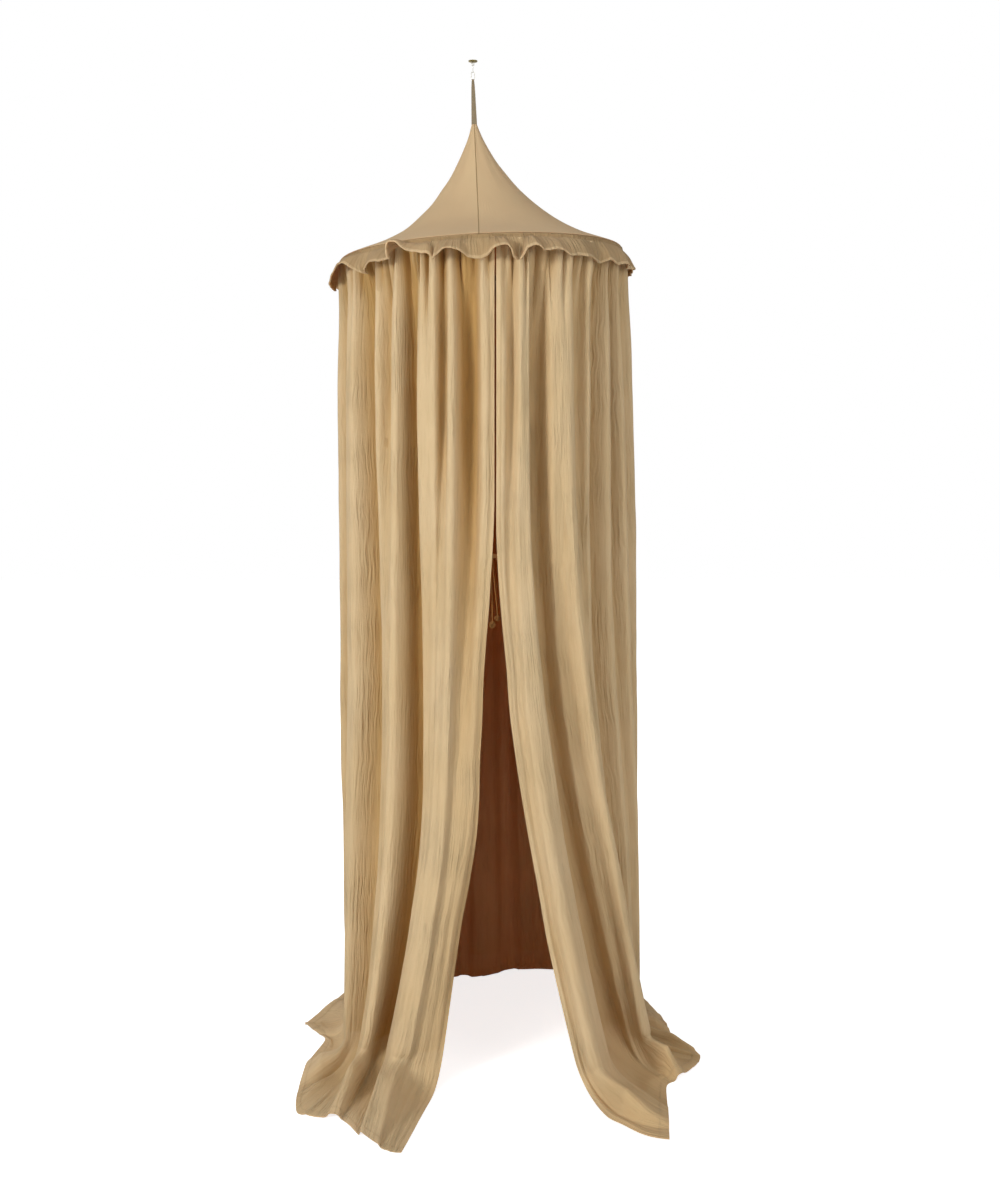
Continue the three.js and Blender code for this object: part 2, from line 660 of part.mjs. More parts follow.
// Valleys are drawn in more than ridges stand out
function foldedPoint(panel, fold, drop) {
  const across = foldAt(fold, drop, 0);
  const depth = foldAt(fold, drop, 3);
  const push = (depth < 0 ? valleyShare * depth : depth) * foldDepth(drop);
  return hangingPoint(panel, across, drop).addScaledVector(outward(panel, across, drop), push);
}

// One column of the cloth: down the fold, round the bend and out over the floor
function curtainColumn(panel, fold) {
  const foot = fold[2];
  const landing = floorPoint(panel, foot, 0);
  const bendStart = 1 - floorBend / (hoopMiddle.z - landing.z);
  const bendReach = Math.min(floorBend / landing.distanceTo(floorPoint(panel, foot, 1)), mostBendShare);
  const bendEnd = floorPoint(panel, foot, bendReach);
  const ridge = Math.max(0, fold[5]);
  const column = hangingRowShares.map((drop) => foldedPoint(panel, fold, drop));
  const above = foldedPoint(panel, fold, bendStart);
  for (const share of bendRowShares) {
    const low = above.clone().lerp(landing, share);
    const out = landing.clone().lerp(bendEnd, share);
    const point = low.lerp(out, share);
    point.z += share * (2 - share) * ridge * floorRidge;
    column.push(point);
  }
  for (const share of floorRowShares) {
    const point = floorPoint(panel, foot, THREE.MathUtils.lerp(bendReach, 1, share));
    point.z += ridge * THREE.MathUtils.lerp(floorRidge, hemRidge, share);
    column.push(point);
  }
  return column;
}

function curtainSolid(panel) {
  const folds = [];
  panel.foldShares.forEach((fold, k) => {
    if (k > 0) folds.push(fold.map((value, column) => (value + panel.foldShares[k - 1][column]) / 2));
    folds.push(fold);
  });
  const columns = folds.map((fold) => curtainColumn(panel, fold));
  const grid = columns[0].map((_, r) => columns.map((column) => column[r]));
  const seams = {};
  for (const [column, degrees] of [[0, panel.fromDegrees], [columns.length - 1, panel.toDegrees]]) {
    const sideSeam = Math.abs(degrees) === 90;
    const backSeam = Math.abs(degrees) === 180;
    if (!sideSeam && !backSeam) continue;
    const axis = sideSeam ? 'y' : 'x';
    const plane = sideSeam ? 0 : hoopMiddle.x;
    const towardsBody = Math.sign(grid[0][column === 0 ? 2 : column - 2][axis] - plane);
    seams[column] = new THREE.Vector3(sideSeam ? 0 : 1, sideSeam ? 1 : 0, 0);
    for (const row of grid) row[column][axis] = plane + (towardsBody * clearance) / 2;
  }
  return clothSolid(grid, curtainFabric, { seamAxis: seams, lowest: -floorDrop });
}

// Tie: a tab sewn behind each front edge, a knot held between them and its two ends
function levelAt(panel, fold, height) {
  const levels = [0, 1];
  for (let k = 0; k < 20; k += 1) {
    const half = (levels[0] + levels[1]) / 2;
    levels[hangingPoint(panel, fold[0], half).z > height ? 0 : 1] = half;
  }
  return levels[0];
}

// The front edge at the tie, and how far back the cloth beside it comes behind a tab
function seatOfTab(panel, folds) {
  const edge = foldedPoint(panel, folds[0], levelAt(panel, folds[0], -tieDrop));
  const inside = tieTabLength - tieTabReach;
  let rear = edge.y;
  for (const height of [tieTabWidth / 2 - tieDrop, -tieTabWidth / 2 - tieDrop]) {
    const line = folds.map((fold) => {
      const point = foldedPoint(panel, fold, levelAt(panel, fold, height));
      return [Math.abs(point.x - edge.x), point.y];
    });
    const under = line.filter(([away]) => away < inside).map(([, back]) => back);
    rear = Math.max(rear, along(line, inside, 1), ...under);
  }
  return { edge, rear };
}

const leftSeat = seatOfTab(frontLeft, [...frontLeft.foldShares].reverse());
const rightSeat = seatOfTab(frontRight, frontRight.foldShares);
const tabOffset = curtainFabric / 2 + clearance + tieTabThickness / 2;
const knotFront = Math.max(leftSeat.rear, rightSeat.rear) + tabOffset + tieTabThickness / 2 + clearance;
const knotMiddle = (leftSeat.edge.x + rightSeat.edge.x) / 2;
const knotPlace = new THREE.Vector3(knotMiddle, knotFront + knotDiameter / 2, -tieDrop);

// The side is -1 on the left; the tab reaches past its edge into the opening
function tieTab({ edge, rear }, side) {
  const tab = new THREE.BoxGeometry(tieTabLength, tieTabThickness, tieTabWidth);
  return tab.translate(edge.x + side * (tieTabLength / 2 - tieTabReach), rear + tabOffset, -tieDrop);
}

// Knot: two rounds of cord, drawn in between them and where the ends come out.
// Columns: how far out, how far up
const knotShares = [
  [0, 0],
  [0.42, 0.05],
  [0.78, 0.16],
  [1, 0.38],
  [0.9, 0.5],
  [1, 0.62],
  [0.78, 0.84],
  [0.42, 0.95],
  [0, 1],
];

function tieKnot() {
  const profile = knotShares.map(([out, up]) =>
    new THREE.Vector2((out * knotDiameter) / 2, (up - 1 / 2) * knotHeight));
  return new THREE.LatheGeometry(profile, 12).rotateX(Math.PI / 2).translate(...knotPlace.toArray());
}

// The two ends hang from the knot: how far right, towards the back and down of it each point is
const longCordRoute = [
  [-1.3, 0, 0],
  [-1.4, 0.2, -20],
  [-1, 0.3, -45],
  [0, 0.2, -75],
  [0.7, 0, -100],
  [0.9, 0, -122],
];
const shortCordRoute = [
  [1.3, 0, 0],
  [2.6, 0.4, -22],
  [5.2, 0.6, -48],
  [8, 0.4, -76],
  [10.2, 0.2, -96],
  [10.9, 0, -110],
];

function cordPoints(route) {
  const start = knotPlace.z - knotHeight / 2 - clearance;
  return route.map(([right, back, up]) => new THREE.Vector3(knotPlace.x + right, knotPlace.y + back, start + up));
}

function tieCord(route) {
  const stepDiameters = 2.5;
  const path = new THREE.CatmullRomCurve3(cordPoints(route));
  const section = new THREE.Shape(circleSection(tieCordDiameter / 2, 8).map(([a, b]) => new THREE.Vector2(a, b)));
  const steps = Math.round(path.getLength() / (stepDiameters * tieCordDiameter));
  return new THREE.ExtrudeGeometry(section, { steps, extrudePath: path, bevelEnabled: false });
}

// Pompom: a ball of wool, a little flatter than round, under the end of its cord
function pompom(route, diameter) {
  const flatShare = 0.94;
  const end = cordPoints(route).at(-1);
  const ball = new THREE.SphereGeometry(diameter / 2, 12, 8).rotateX(Math.PI / 2).scale(1, 1, flatShare);
  return ball.translate(end.x, end.y, end.z - clearance - (flatShare * diameter) / 2);
}

const model = new THREE.Group();
crown.add(
  piece('roof_gore_left', roofGore(-1), roofCotton),
  piece('roof_gore_right', roofGore(1), roofCotton),
  piece('hoop_arc_left', hoopArc(-1), cane),
  piece('hoop_arc_right', hoopArc(1), cane),
  piece('hoop_ferrule_front', hoopFerrule(0), steel),
  piece('hoop_ferrule_back', hoopFerrule(Math.PI), steel),
  piece('hoop_casing', hoopCasing(), cotton),
  piece('ruffle', ruffleSolid(), cotton),
);
model.add(
  piece('ceiling_plate', ceilingPlate(), agedBrass),
  piece('screw_eye', screwEye(), steel),
  piece('chain_link_upper', linkSolid(
    upperLinkInnerLength, upperLinkInnerWidth, upperLinkTop, new THREE.Vector3(0, 1, 0)), steel),
  piece('chain_link_lower', linkSolid(
    lowerLinkInnerLength, lowerLinkInnerWidth, lowerLinkTop, new THREE.Vector3(1, 0, 0)), steel),
  piece('hanging_ribbon', ribbonSolid(), ribbonCotton),
  crown,
);
for (const panel of [frontLeft, frontRight, backLeft, backRight]) {
  model.add(piece(panel.name, curtainSolid(panel), cotton));
}
model.add(
  piece('tie_tab_left', tieTab(leftSeat, -1), cotton),
  piece('tie_tab_right', tieTab(rightSeat, 1), cotton),
  piece('tie_knot', tieKnot(), wool),
  piece('tie_cord_long', tieCord(longCordRoute), wool),
  piece('tie_cord_short', tieCord(shortCordRoute), wool),
  piece('pompom_large', pompom(longCordRoute, largePompomDiameter), wool),
  piece('pompom_small', pompom(shortCordRoute, smallPompomDiameter), wool),
);

export default model;
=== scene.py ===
"""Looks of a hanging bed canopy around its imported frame. Metres, +Z up, front towards -Y."""
import math

import bpy
import numpy as np
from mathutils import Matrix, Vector


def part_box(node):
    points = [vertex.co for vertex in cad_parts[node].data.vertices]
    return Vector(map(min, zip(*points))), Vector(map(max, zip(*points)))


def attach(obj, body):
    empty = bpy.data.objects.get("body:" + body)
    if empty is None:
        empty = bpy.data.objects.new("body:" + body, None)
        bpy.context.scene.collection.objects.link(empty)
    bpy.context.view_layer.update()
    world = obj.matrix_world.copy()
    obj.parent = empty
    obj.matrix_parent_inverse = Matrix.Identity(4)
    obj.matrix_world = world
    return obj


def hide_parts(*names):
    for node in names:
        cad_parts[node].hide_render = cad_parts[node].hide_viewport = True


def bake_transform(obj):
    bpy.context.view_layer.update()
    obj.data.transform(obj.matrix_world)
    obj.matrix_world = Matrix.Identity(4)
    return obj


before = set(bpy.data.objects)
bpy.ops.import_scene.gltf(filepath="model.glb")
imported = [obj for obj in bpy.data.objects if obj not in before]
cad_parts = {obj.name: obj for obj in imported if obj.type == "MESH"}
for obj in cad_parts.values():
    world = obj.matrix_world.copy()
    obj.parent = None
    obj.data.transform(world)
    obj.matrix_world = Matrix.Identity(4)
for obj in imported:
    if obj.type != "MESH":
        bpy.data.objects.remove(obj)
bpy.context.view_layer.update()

# Sizes shared with the solids, in metres
CLEARANCE = 0.0003
CROWN_TILT = math.radians(2.9)
CROWN_TIP = Vector((0.003, 0.0, -0.139415))
HOOP_RADIUS = 0.3
CASING_INNER = 0.0044
CASING_OUTER = 0.0058
ROOF_HEIGHT = 0.293
CURTAIN_RADIUS = 0.302
HEAD_HEIGHT = -(ROOF_HEIGHT + CASING_OUTER + CLEARANCE)
FLOOR = -2.1
CLOTH = 0.0012
FLOOR_BEND = 0.07
FLOOR_RIDGE = 0.055
HEM_RIDGE = 0.009
OPENING_DEGREES = 4.5
HALF_OPENING = 0.0018
HALF_OPENING_DEGREES = math.degrees(HALF_OPENING / CURTAIN_RADIUS)


# The camera stands level in front of the object, a little to the right of its middle. Its focal
# length is known in the photograph's pixels.
CAMERA_PLACE = (0.059, -3.15, -0.913)
FOCAL_PIXELS = 1446
PHOTO_HEIGHT = 1200
SENSOR = 36
CAMERA_SHIFT = -0.1
FAR_AWAY = 60


def make_camera():
    data = bpy.data.cameras.new("camera")
    data.sensor_width = SENSOR
    data.lens = SENSOR * FOCAL_PIXELS / PHOTO_HEIGHT
    data.shift_y = CAMERA_SHIFT
    data.clip_end = FAR_AWAY
    camera = bpy.data.objects.new("camera", data)
    camera.location = CAMERA_PLACE
    camera.rotation_euler = (math.radians(90), 0, 0)
    bpy.context.scene.collection.objects.link(camera)
    bpy.context.scene.camera = camera


make_camera()


# Nodes of a material or of the world, linked by short calls
class Nodes:
    def __init__(self, owner, output="ShaderNodeOutputMaterial"):
        owner.use_nodes = True
        self.owner = owner
        self.tree = owner.node_tree
        self.tree.nodes.clear()
        self.output = self.add(output)

    def add(self, kind, values=None, **settings):
        node = self.tree.nodes.new(kind)
        for name, value in settings.items():
            setattr(node, name, value)
        for name, value in (values or {}).items():
            if isinstance(value, bpy.types.NodeSocket):
                self.tree.links.new(value, node.inputs[name])
            else:
                node.inputs[name].default_value = value
        return node

    def math(self, operation, first, second=0.0, third=0.0):
        values = {0: first, 1: second, 2: third}
        return self.add("ShaderNodeMath", values, operation=operation).outputs[0]

    def times(self, first, second):
        return self.math("MULTIPLY", first, second)

    def mix(self, factor, first, second, blend="MIX"):
        values = {"Factor": factor, 6: first, 7: second}
        return self.add("ShaderNodeMix", values, data_type="RGBA", blend_type=blend).outputs[2]

    def noise(self, vector, scale, detail=2.0, rough=0.5):
        values = {"Vector": vector, "Scale": scale, "Detail": detail, "Roughness": rough}
        return self.add("ShaderNodeTexNoise", values).outputs["Fac"]

    def bump(self, height, distance, normal=None):
        values = {"Height": height, "Distance": distance, "Strength": 1.0}
        if normal is not None:
            values["Normal"] = normal
        return self.add("ShaderNodeBump", values).outputs["Normal"]

    def stretch(self, vector, scale):
        return self.add("ShaderNodeMapping", {"Vector": vector, "Scale": scale}).outputs["Vector"]

    def shift_range(self, value, old=(0, 1), new=(0, 1)):
        values = {"Value": value, "From Min": old[0], "From Max": old[1], "To Min": new[0], "To Max": new[1]}
        return self.add("ShaderNodeMapRange", values).outputs[0]

    def split(self, vector):
        return self.add("ShaderNodeSeparateXYZ", {"Vector": vector}).outputs

    def map(self, name):
        return self.add("ShaderNodeUVMap", uv_map=name).outputs["UV"]

    def object_place(self):
        return self.add("ShaderNodeTexCoord").outputs["Object"]

    def surface(self, colour, rough, normal, **others):
        values = {"Base Color": colour, "Roughness": rough, "Normal": normal}
        values.update({name.replace("_", " "): value for name, value in others.items()})
        return self.add("ShaderNodeBsdfPrincipled", values).outputs[0]

    def finish(self, shader):
        self.tree.links.new(shader, self.output.inputs["Surface"])
        return self.owner


def linear(code, alpha=1.0):
    def one(value):
        return value / 12.92 if value <= 0.04045 else ((value + 0.055) / 1.055) ** 2.4
    return [one(int(code[k:k + 2], 16) / 255) for k in (0, 2, 4)] + [alpha]


SEE_THROUGH = 0.2
# How often the patterns repeat in a metre, across and down the cloth
WRINKLE_PITCH = (190, 11, 1)
CREPE_PITCH = (520, 60, 1)
# How far each pattern stands up, in metres, on cloth with a crinkle of 1
WRINKLE_RISE = 0.0058
CREPE_RISE = 0.0004
CELL_RISE = 0.0009
WEAVE_RISE = 0.00004
SEWN_RISE = 0.00025
HOLLOW_SHADE = 0.22
THREAD_REACH = 0.0009
STITCHES_PER_METRE = 300
# Colour of the painted shade in the folds
PAINTED_FOLD_SHADE = (0.78, 0.63, 0.38, 1)


# Woven cloth. The maps are measured in metres: how far across and down the cloth a point is,
# and how far it is from the side edge and from the hem.
def cloth_material(name, light, dark, deep, crinkle, weave_threads, seams_and_shade, fold_shade_weight=0.0, glow="f0a65c"):
    n = Nodes(bpy.data.materials.new(name))
    place = n.map("cloth")
    across, down, _ = n.split(place)
    broad = n.noise(place, 5.0)
    drift = n.times(n.noise(place, 14.0, 1.0), 2.0)
    drift = n.add("ShaderNodeCombineXYZ", {"X": drift}).outputs[0]
    drifted = {0: n.stretch(place, WRINKLE_PITCH), 1: drift}
    drifted = n.add("ShaderNodeVectorMath", drifted, operation="ADD").outputs[0]
    wrinkle = n.noise(drifted, 1.0, 3.0, 0.55)
    crepe = n.noise(n.stretch(place, CREPE_PITCH), 1.0, 2.0, 0.6)
    cells = n.noise(place, 60.0)
    patches = n.shift_range(broad, (0.35, 0.65))
    colour = n.mix(patches, linear(light), linear(dark))
    hollow = n.shift_range(wrinkle, (0.5, 0.25), (0, HOLLOW_SHADE * crinkle))
    colour = n.mix(hollow, colour, linear(deep))
    if fold_shade_weight:
        # Painted shade: the colour is darkened down in the folds, where shade falls and light goes from cloth
        # to cloth
        depth = n.split(n.map("folds"))["X"]
        colour = n.mix(n.times(depth, fold_shade_weight), colour, PAINTED_FOLD_SHADE, "MULTIPLY")
    warp = n.math("SINE", n.times(across, 2 * math.pi * weave_threads))
    weft = n.math("SINE", n.times(down, 2 * math.pi * weave_threads))
    normal = n.bump(n.times(warp, weft), WEAVE_RISE)
    normal = n.bump(crepe, CREPE_RISE * crinkle, normal)
    crushed = n.shift_range(n.noise(place, 8.0, 1.0), (0.4, 0.6), (0.3, 1))
    normal = n.bump(n.times(wrinkle, crushed), WRINKLE_RISE * crinkle, normal)
    normal = n.bump(cells, CELL_RISE * crinkle, normal)
    # Rows along the edges: where the cloth is sewn, a pinched line darkened with painted shade, with stitches
    # in it along the hems; on the ruffle, wider rows of painted shade
    gaps = n.split(n.map("hems"))
    for side, row, reach, shade, threads in seams_and_shade:
        pinch_and_shade = n.math("COMPARE", gaps[side], row, reach)
        colour = n.mix(n.times(pinch_and_shade, shade), colour, linear(deep))
        height = n.times(pinch_and_shade, -1.0)
        if threads:
            run = n.times(down if side == "X" else across, STITCHES_PER_METRE)
            dash = n.math("GREATER_THAN", n.math("FRACT", run), 0.35)
            thread = n.times(n.math("COMPARE", gaps[side], row, THREAD_REACH), dash)
            colour = n.mix(n.times(thread, 0.6), colour, linear(light))
            height = n.math("ADD", height, thread)
        normal = n.bump(height, SEWN_RISE, normal)
    rough = n.shift_range(cells, new=(0.86, 1))
    shader = n.surface(colour, rough, normal, Specular_IOR_Level=0.12, Sheen_Weight=0.06, Sheen_Roughness=0.5)
    # Some light passes through the thin cloth, mostly its red part
    passed = n.add("ShaderNodeBsdfTranslucent", {"Color": linear(glow)}).outputs[0]
    both = n.add("ShaderNodeMixShader", {0: SEE_THROUGH, 1: shader, 2: passed})
    return n.finish(both.outputs[0])


# Twisted yarn: strands wind round the length of the piece
def yarn_material(name, light, dark):
    n = Nodes(bpy.data.materials.new(name))
    place = n.object_place()
    x, y, z = n.split(place)
    slant = n.math("ADD", n.times(z, 2600.0), n.times(n.math("ADD", x, y), 900.0))
    strand = n.math("SINE", slant)
    fuzz = n.noise(place, 900.0, 3.0)
    blend = n.times(n.math("ADD", strand, 1.0), 0.35)
    colour = n.mix(n.math("ADD", blend, n.times(fuzz, 0.3)), linear(dark), linear(light))
    normal = n.bump(strand, 0.0003, n.bump(fuzz, 0.0003))
    return n.finish(n.surface(colour, 0.95, normal, Specular_IOR_Level=0.1, Sheen_Weight=0.05))


# Drawn and plated wire, or a stamped plate, with faint scratches and dulled patches
def metal_material(name, light, dark, low, high):
    n = Nodes(bpy.data.materials.new(name))
    place = n.object_place()
    scratch = n.noise(n.stretch(place, (2500, 2500, 220)), 1.0, 3.0)
    patch = n.noise(place, 320.0, 3.0)
    colour = n.mix(n.shift_range(patch, (0.35, 0.65)), linear(light), linear(dark))
    rough = n.shift_range(patch, new=(low, high))
    return n.finish(n.surface(colour, rough, n.bump(scratch, 0.00003), Metallic=1.0))


# Cane rod: long fibres and a few darker joints
def cane_material(name, light, dark):
    n = Nodes(bpy.data.materials.new(name))
    place = n.object_place()
    fibre = n.noise(n.stretch(place, (60, 60, 900)), 1.0, 4.0)
    tone = n.noise(place, 14.0)
    colour = n.mix(n.times(n.math("ADD", fibre, tone), 0.5), linear(light), linear(dark))
    return n.finish(n.surface(colour, 0.6, n.bump(fibre, 0.0002)))


# Sewn rows and rows of painted shade: which edge, how far from it, half the width, how dark the painted shade
# is, and whether threads show
HEMS = (("X", 0.0105, 0.0016, 0.3, True), ("Y", 0.0175, 0.0016, 0.2, True))
SEAM = (("X", 0.0, 0.0011, 0.75, False),)
# On the ruffle: a painted shadow in a thin line under the roof's rim, and painted shade over the ruffle's
# body that leaves its rolled hem lighter
RUFFLE_SHADE_ROWS = (("X", 0.0, 0.0014, 0.4, False), ("Y", 0.0266, 0.0214, 0.42, False))
MUSLIN = cloth_material("muslin", "e2cba0", "ddc598", "a98a5a", 1.0, 900, HEMS, 0.95)
RUFFLE_CLOTH = cloth_material("ruffle_muslin", "e2ca9e", "dac294", "94744a", 1.7, 900, RUFFLE_SHADE_ROWS)
PLAIN_COTTON = cloth_material("roof_cotton", "e0c79b", "dcc297", "8f774c", 0.1, 1100, SEAM)
STRAP = cloth_material("strap", "a0947a", "8f836a", "6d624c", 0.25, 600, ())
# The tabs are of the curtains' muslin; their dark brown is painted shade, as they hang in the shade inside
# the opening
TAB_SHADED_MUSLIN = cloth_material("tab_shaded_muslin", "7d5730", "6e4a28", "5a3a20", 0.25, 600, ())
YARN = yarn_material("yarn", "b98448", "7a4c22")
STEEL = metal_material("plated_wire", "b8b6ae", "8f8c84", 0.25, 0.5)
BRASS = metal_material("aged_brass", "8a7d4c", "5a4e2c", 0.35, 0.6)
CANE = cane_material("cane", "c39c66", "8f6a3c")


# Smooth values of a table's column, never past its own rows
def smooth_along(table, at, column=1):
    table = np.asarray(table, float)
    x, y = table[:, 0], table[:, column]
    h = np.diff(x)
    slope = np.diff(y) / h
    tangent = np.zeros(len(x))
    for k in range(1, len(x) - 1):
        if slope[k - 1] * slope[k] > 0:
            first, second = 2 * h[k] + h[k - 1], h[k] + 2 * h[k - 1]
            tangent[k] = (first + second) / (first / slope[k - 1] + second / slope[k])
    tangent[0], tangent[-1] = slope[0], slope[-1]
    at = np.clip(at, x[0], x[-1])
    k = np.clip(np.searchsorted(x, at, side="right") - 1, 0, len(h) - 1)
    t = (at - x[k]) / h[k]
    return ((2 * t ** 3 - 3 * t ** 2 + 1) * y[k] + (t ** 3 - 2 * t ** 2 + t) * h[k] * tangent[k]
            + (3 * t ** 2 - 2 * t ** 3) * y[k + 1] + (t ** 3 - t ** 2) * h[k] * tangent[k + 1])


def smoothstep(low, high, value):
    t = np.clip((value - low) / (high - low), 0, 1)
    return t * t * (3 - 2 * t)


# Smooth random heights between -1 and 1 over two coordinates, the first of which may go round
def ripple(x, y, seed, period=256):
    x, y = np.broadcast_arrays(x, y)
    grid = np.random.default_rng(seed).uniform(-1, 1, (256, 256))
    i, j = np.floor(x).astype(int), np.floor(y).astype(int)
    u, v = x - i, y - j
    u, v = u * u * (3 - 2 * u), v * v * (3 - 2 * v)

    def row(b):
        return grid[i % period, b % 256] * (1 - u) + grid[(i + 1) % period, b % 256] * u

    return row(j) * (1 - v) + row(j + 1) * v


def crown_point(points):
    x, y, z = points[..., 0], points[..., 1], points[..., 2]
    c, s = math.cos(CROWN_TILT), math.sin(CROWN_TILT)
    return np.stack([CROWN_TIP.x + x * c - z * s, CROWN_TIP.y + y, CROWN_TIP.z + x * s + z * c], -1)


def around(radius, angle, height):
    radius, angle, height = np.broadcast_arrays(radius, angle, height)
    return np.stack([radius * np.sin(angle), -radius * np.cos(angle), height], -1)


HOOP_MIDDLE = crown_point(np.array([0.0, 0.0, -ROOF_HEIGHT]))


def link(mesh, name, material):
    piece = bpy.data.objects.new(name, mesh)
    bpy.context.scene.collection.objects.link(piece)
    mesh.materials.append(material)
    return piece


def mesh_of(name, points, faces, maps=None):
    mesh = bpy.data.meshes.new(name)
    points = np.ascontiguousarray(points.reshape(-1, 3), np.float32)
    faces = np.ascontiguousarray(faces, np.int32)
    mesh.vertices.add(len(points))
    mesh.vertices.foreach_set("co", points.ravel())
    mesh.loops.add(faces.size)
    mesh.loops.foreach_set("vertex_index", faces.ravel())
    mesh.polygons.add(len(faces))
    mesh.polygons.foreach_set("loop_start", np.arange(0, faces.size, faces.shape[1], dtype=np.int32))
    for map_name, values in (maps or {}).items():
        layer = mesh.uv_layers.new(name=map_name)
        values = np.ascontiguousarray(values.reshape(-1, 2), np.float32)
        layer.uv.foreach_set("vector", values[faces.ravel()].ravel())
    mesh.update(calc_edges=True)
    mesh.validate()
    mesh.shade_smooth()
    return mesh


# A closed cloth: the grid moved half its thickness to both sides, with walls along its edges
def cloth_mesh(name, grid, thickness, maps, closed=False, seam_axes=(None, None)):
    rows, columns = grid.shape[:2]
    if closed:
        across = np.roll(grid, -1, 1) - np.roll(grid, 1, 1)
    else:
        across = np.gradient(grid, axis=1)
    normal = np.cross(np.gradient(grid, axis=0), across)
    for column, axis in zip((0, -1), seam_axes):
        if axis is not None:
            normal[:, column] -= np.outer(normal[:, column] @ axis, axis)
    normal /= np.maximum(np.linalg.norm(normal, axis=2, keepdims=True), 1e-12)
    half = np.broadcast_to(thickness, (rows, columns))[..., None] / 2
    points = np.concatenate([(grid + normal * half).reshape(-1, 3), (grid - normal * half).reshape(-1, 3)])
    index = np.arange(rows * columns).reshape(rows, columns)
    if closed:
        index = np.concatenate([index, index[:, :1]], 1)
    count = rows * columns
    a, b, c, d = index[:-1, :-1], index[1:, :-1], index[1:, 1:], index[:-1, 1:]
    faces = [np.stack([a, b, c, d], -1), np.stack([a, d, c, b], -1) + count]
    top, bottom = index[0], index[-1]
    faces.append(np.stack([top[:-1], top[1:], top[1:] + count, top[:-1] + count], -1))
    faces.append(np.stack([bottom[:-1], bottom[:-1] + count, bottom[1:] + count, bottom[1:]], -1))
    if not closed:
        left, right = index[:, 0], index[:, -1]
        faces.append(np.stack([left[:-1], left[:-1] + count, left[1:] + count, left[1:]], -1))
        faces.append(np.stack([right[:-1], right[1:], right[1:] + count, right[:-1] + count], -1))
    faces = np.concatenate([f.reshape(-1, 4) for f in faces])
    both = {key: np.concatenate([value.reshape(-1, 2)] * 2) for key, value in maps.items()}
    mesh = mesh_of(name, points, faces, both)
    mesh.set_sharp_from_angle(angle=math.radians(70))
    return mesh


# How far along rows and columns each point lies
def runs(grid):
    across = np.linalg.norm(np.diff(grid, axis=1), axis=2)
    down = np.linalg.norm(np.diff(grid, axis=0), axis=2)
    across = np.concatenate([np.zeros((grid.shape[0], 1)), np.cumsum(across, 1)], 1)
    down = np.concatenate([np.zeros((1, grid.shape[1])), np.cumsum(down, 0)], 0)
    return across, down


# Curtains. Landing, hem and bow: how far across, then right and back of the point under the
# hoop's middle, in curtain radii. Sweep: how far across, how far down the cloth hangs plumb, and
# how late it swings out. Folds: places across at the top, the middle and the foot, then depths.
# Curl and ease: how far down, then how far the free edge turns in, in metres, and hangs to the
# right, in millimetres. Valley: how deep valleys are at the foot. Fold shade and lying: how much
# painted shade goes into the folds and onto the cloth that lies on the floor. Lift: how much of the
# ridges' height the floor keeps.
FRONT_LEFT = {
    "from": -90,
    "to": OPENING_DEGREES - HALF_OPENING_DEGREES,
    "landing": [[0, -0.925, 0], [0.1, -0.94, -0.3], [0.26, -0.885, -0.72], [0.44, -0.87, -0.78],
                [0.59, -0.79, -0.93], [0.75, -0.63, -0.94], [0.84, -0.56, -1.08], [1, -0.26, -1.05]],
    "hem": [[0, -1.27, 0], [0.08, -1.16, -0.17], [0.17, -1.09, -0.3], [0.27, -1.16, -0.76],
            [0.36, -1.16, -1.16], [0.46, -1.12, -1.46], [0.56, -0.96, -1.53], [0.64, -0.85, -1.56],
            [0.78, -0.69, -1.79], [0.9, -0.56, -1.95], [1, -0.44, -2]],
    "sweep": [[0, 0.4, 3.2], [0.6, 0.4, 3], [1, 0.38, 1.6]],
    "folds": [
        [0, 0, 0, -0.4, -0.4, -0.3], [0.07, 0.07, 0.07, 0.7, 0.3, 0.1],
        [0.16, 0.16, 0.16, -0.8, -0.7, -0.5], [0.31, 0.34, 0.3, 1, 0.9, 0.55],
        [0.455, 0.48, 0.46, -1.1, -0.8, -0.7], [0.5, 0.53, 0.53, 0.8, 0.3, 0],
        [0.553, 0.56, 0.56, -0.4, 0.4, 0.1], [0.6, 0.6, 0.6, 1, 1, 0.9],
        [0.668, 0.675, 0.725, -1.1, -1.1, -1], [0.71, 0.735, 0.785, 0.6, 0.1, 0.8],
        [0.775, 0.78, 0.815, 0.9, 0.4, 0.9], [0.803, 0.8, 0.835, -0.5, 0.6, 0.9],
        [0.84, 0.84, 0.87, 0.9, 1, 0.9], [0.905, 0.905, 0.92, -1, -0.2, 0.2],
        [0.965, 0.965, 0.965, 0.6, 0.1, 0], [1, 1, 1, 0, 0.15, -0.1]],
    "curl": [[0, 0], [0.41, 0], [0.5, -0.011], [0.85, -0.013], [1, 0]],
    "valley": 2.2,
    "ease": [[0, 8], [0.3, 8], [0.34, 6.5], [0.375, 3.7], [0.4, 1.2], [0.43, 0], [0.475, -2.5], [0.52, -3.5],
             [0.57, -0.4], [0.62, 2], [0.67, 8], [0.71, 10], [0.76, 7], [0.82, 1], [0.88, 0], [1, 0]],
}
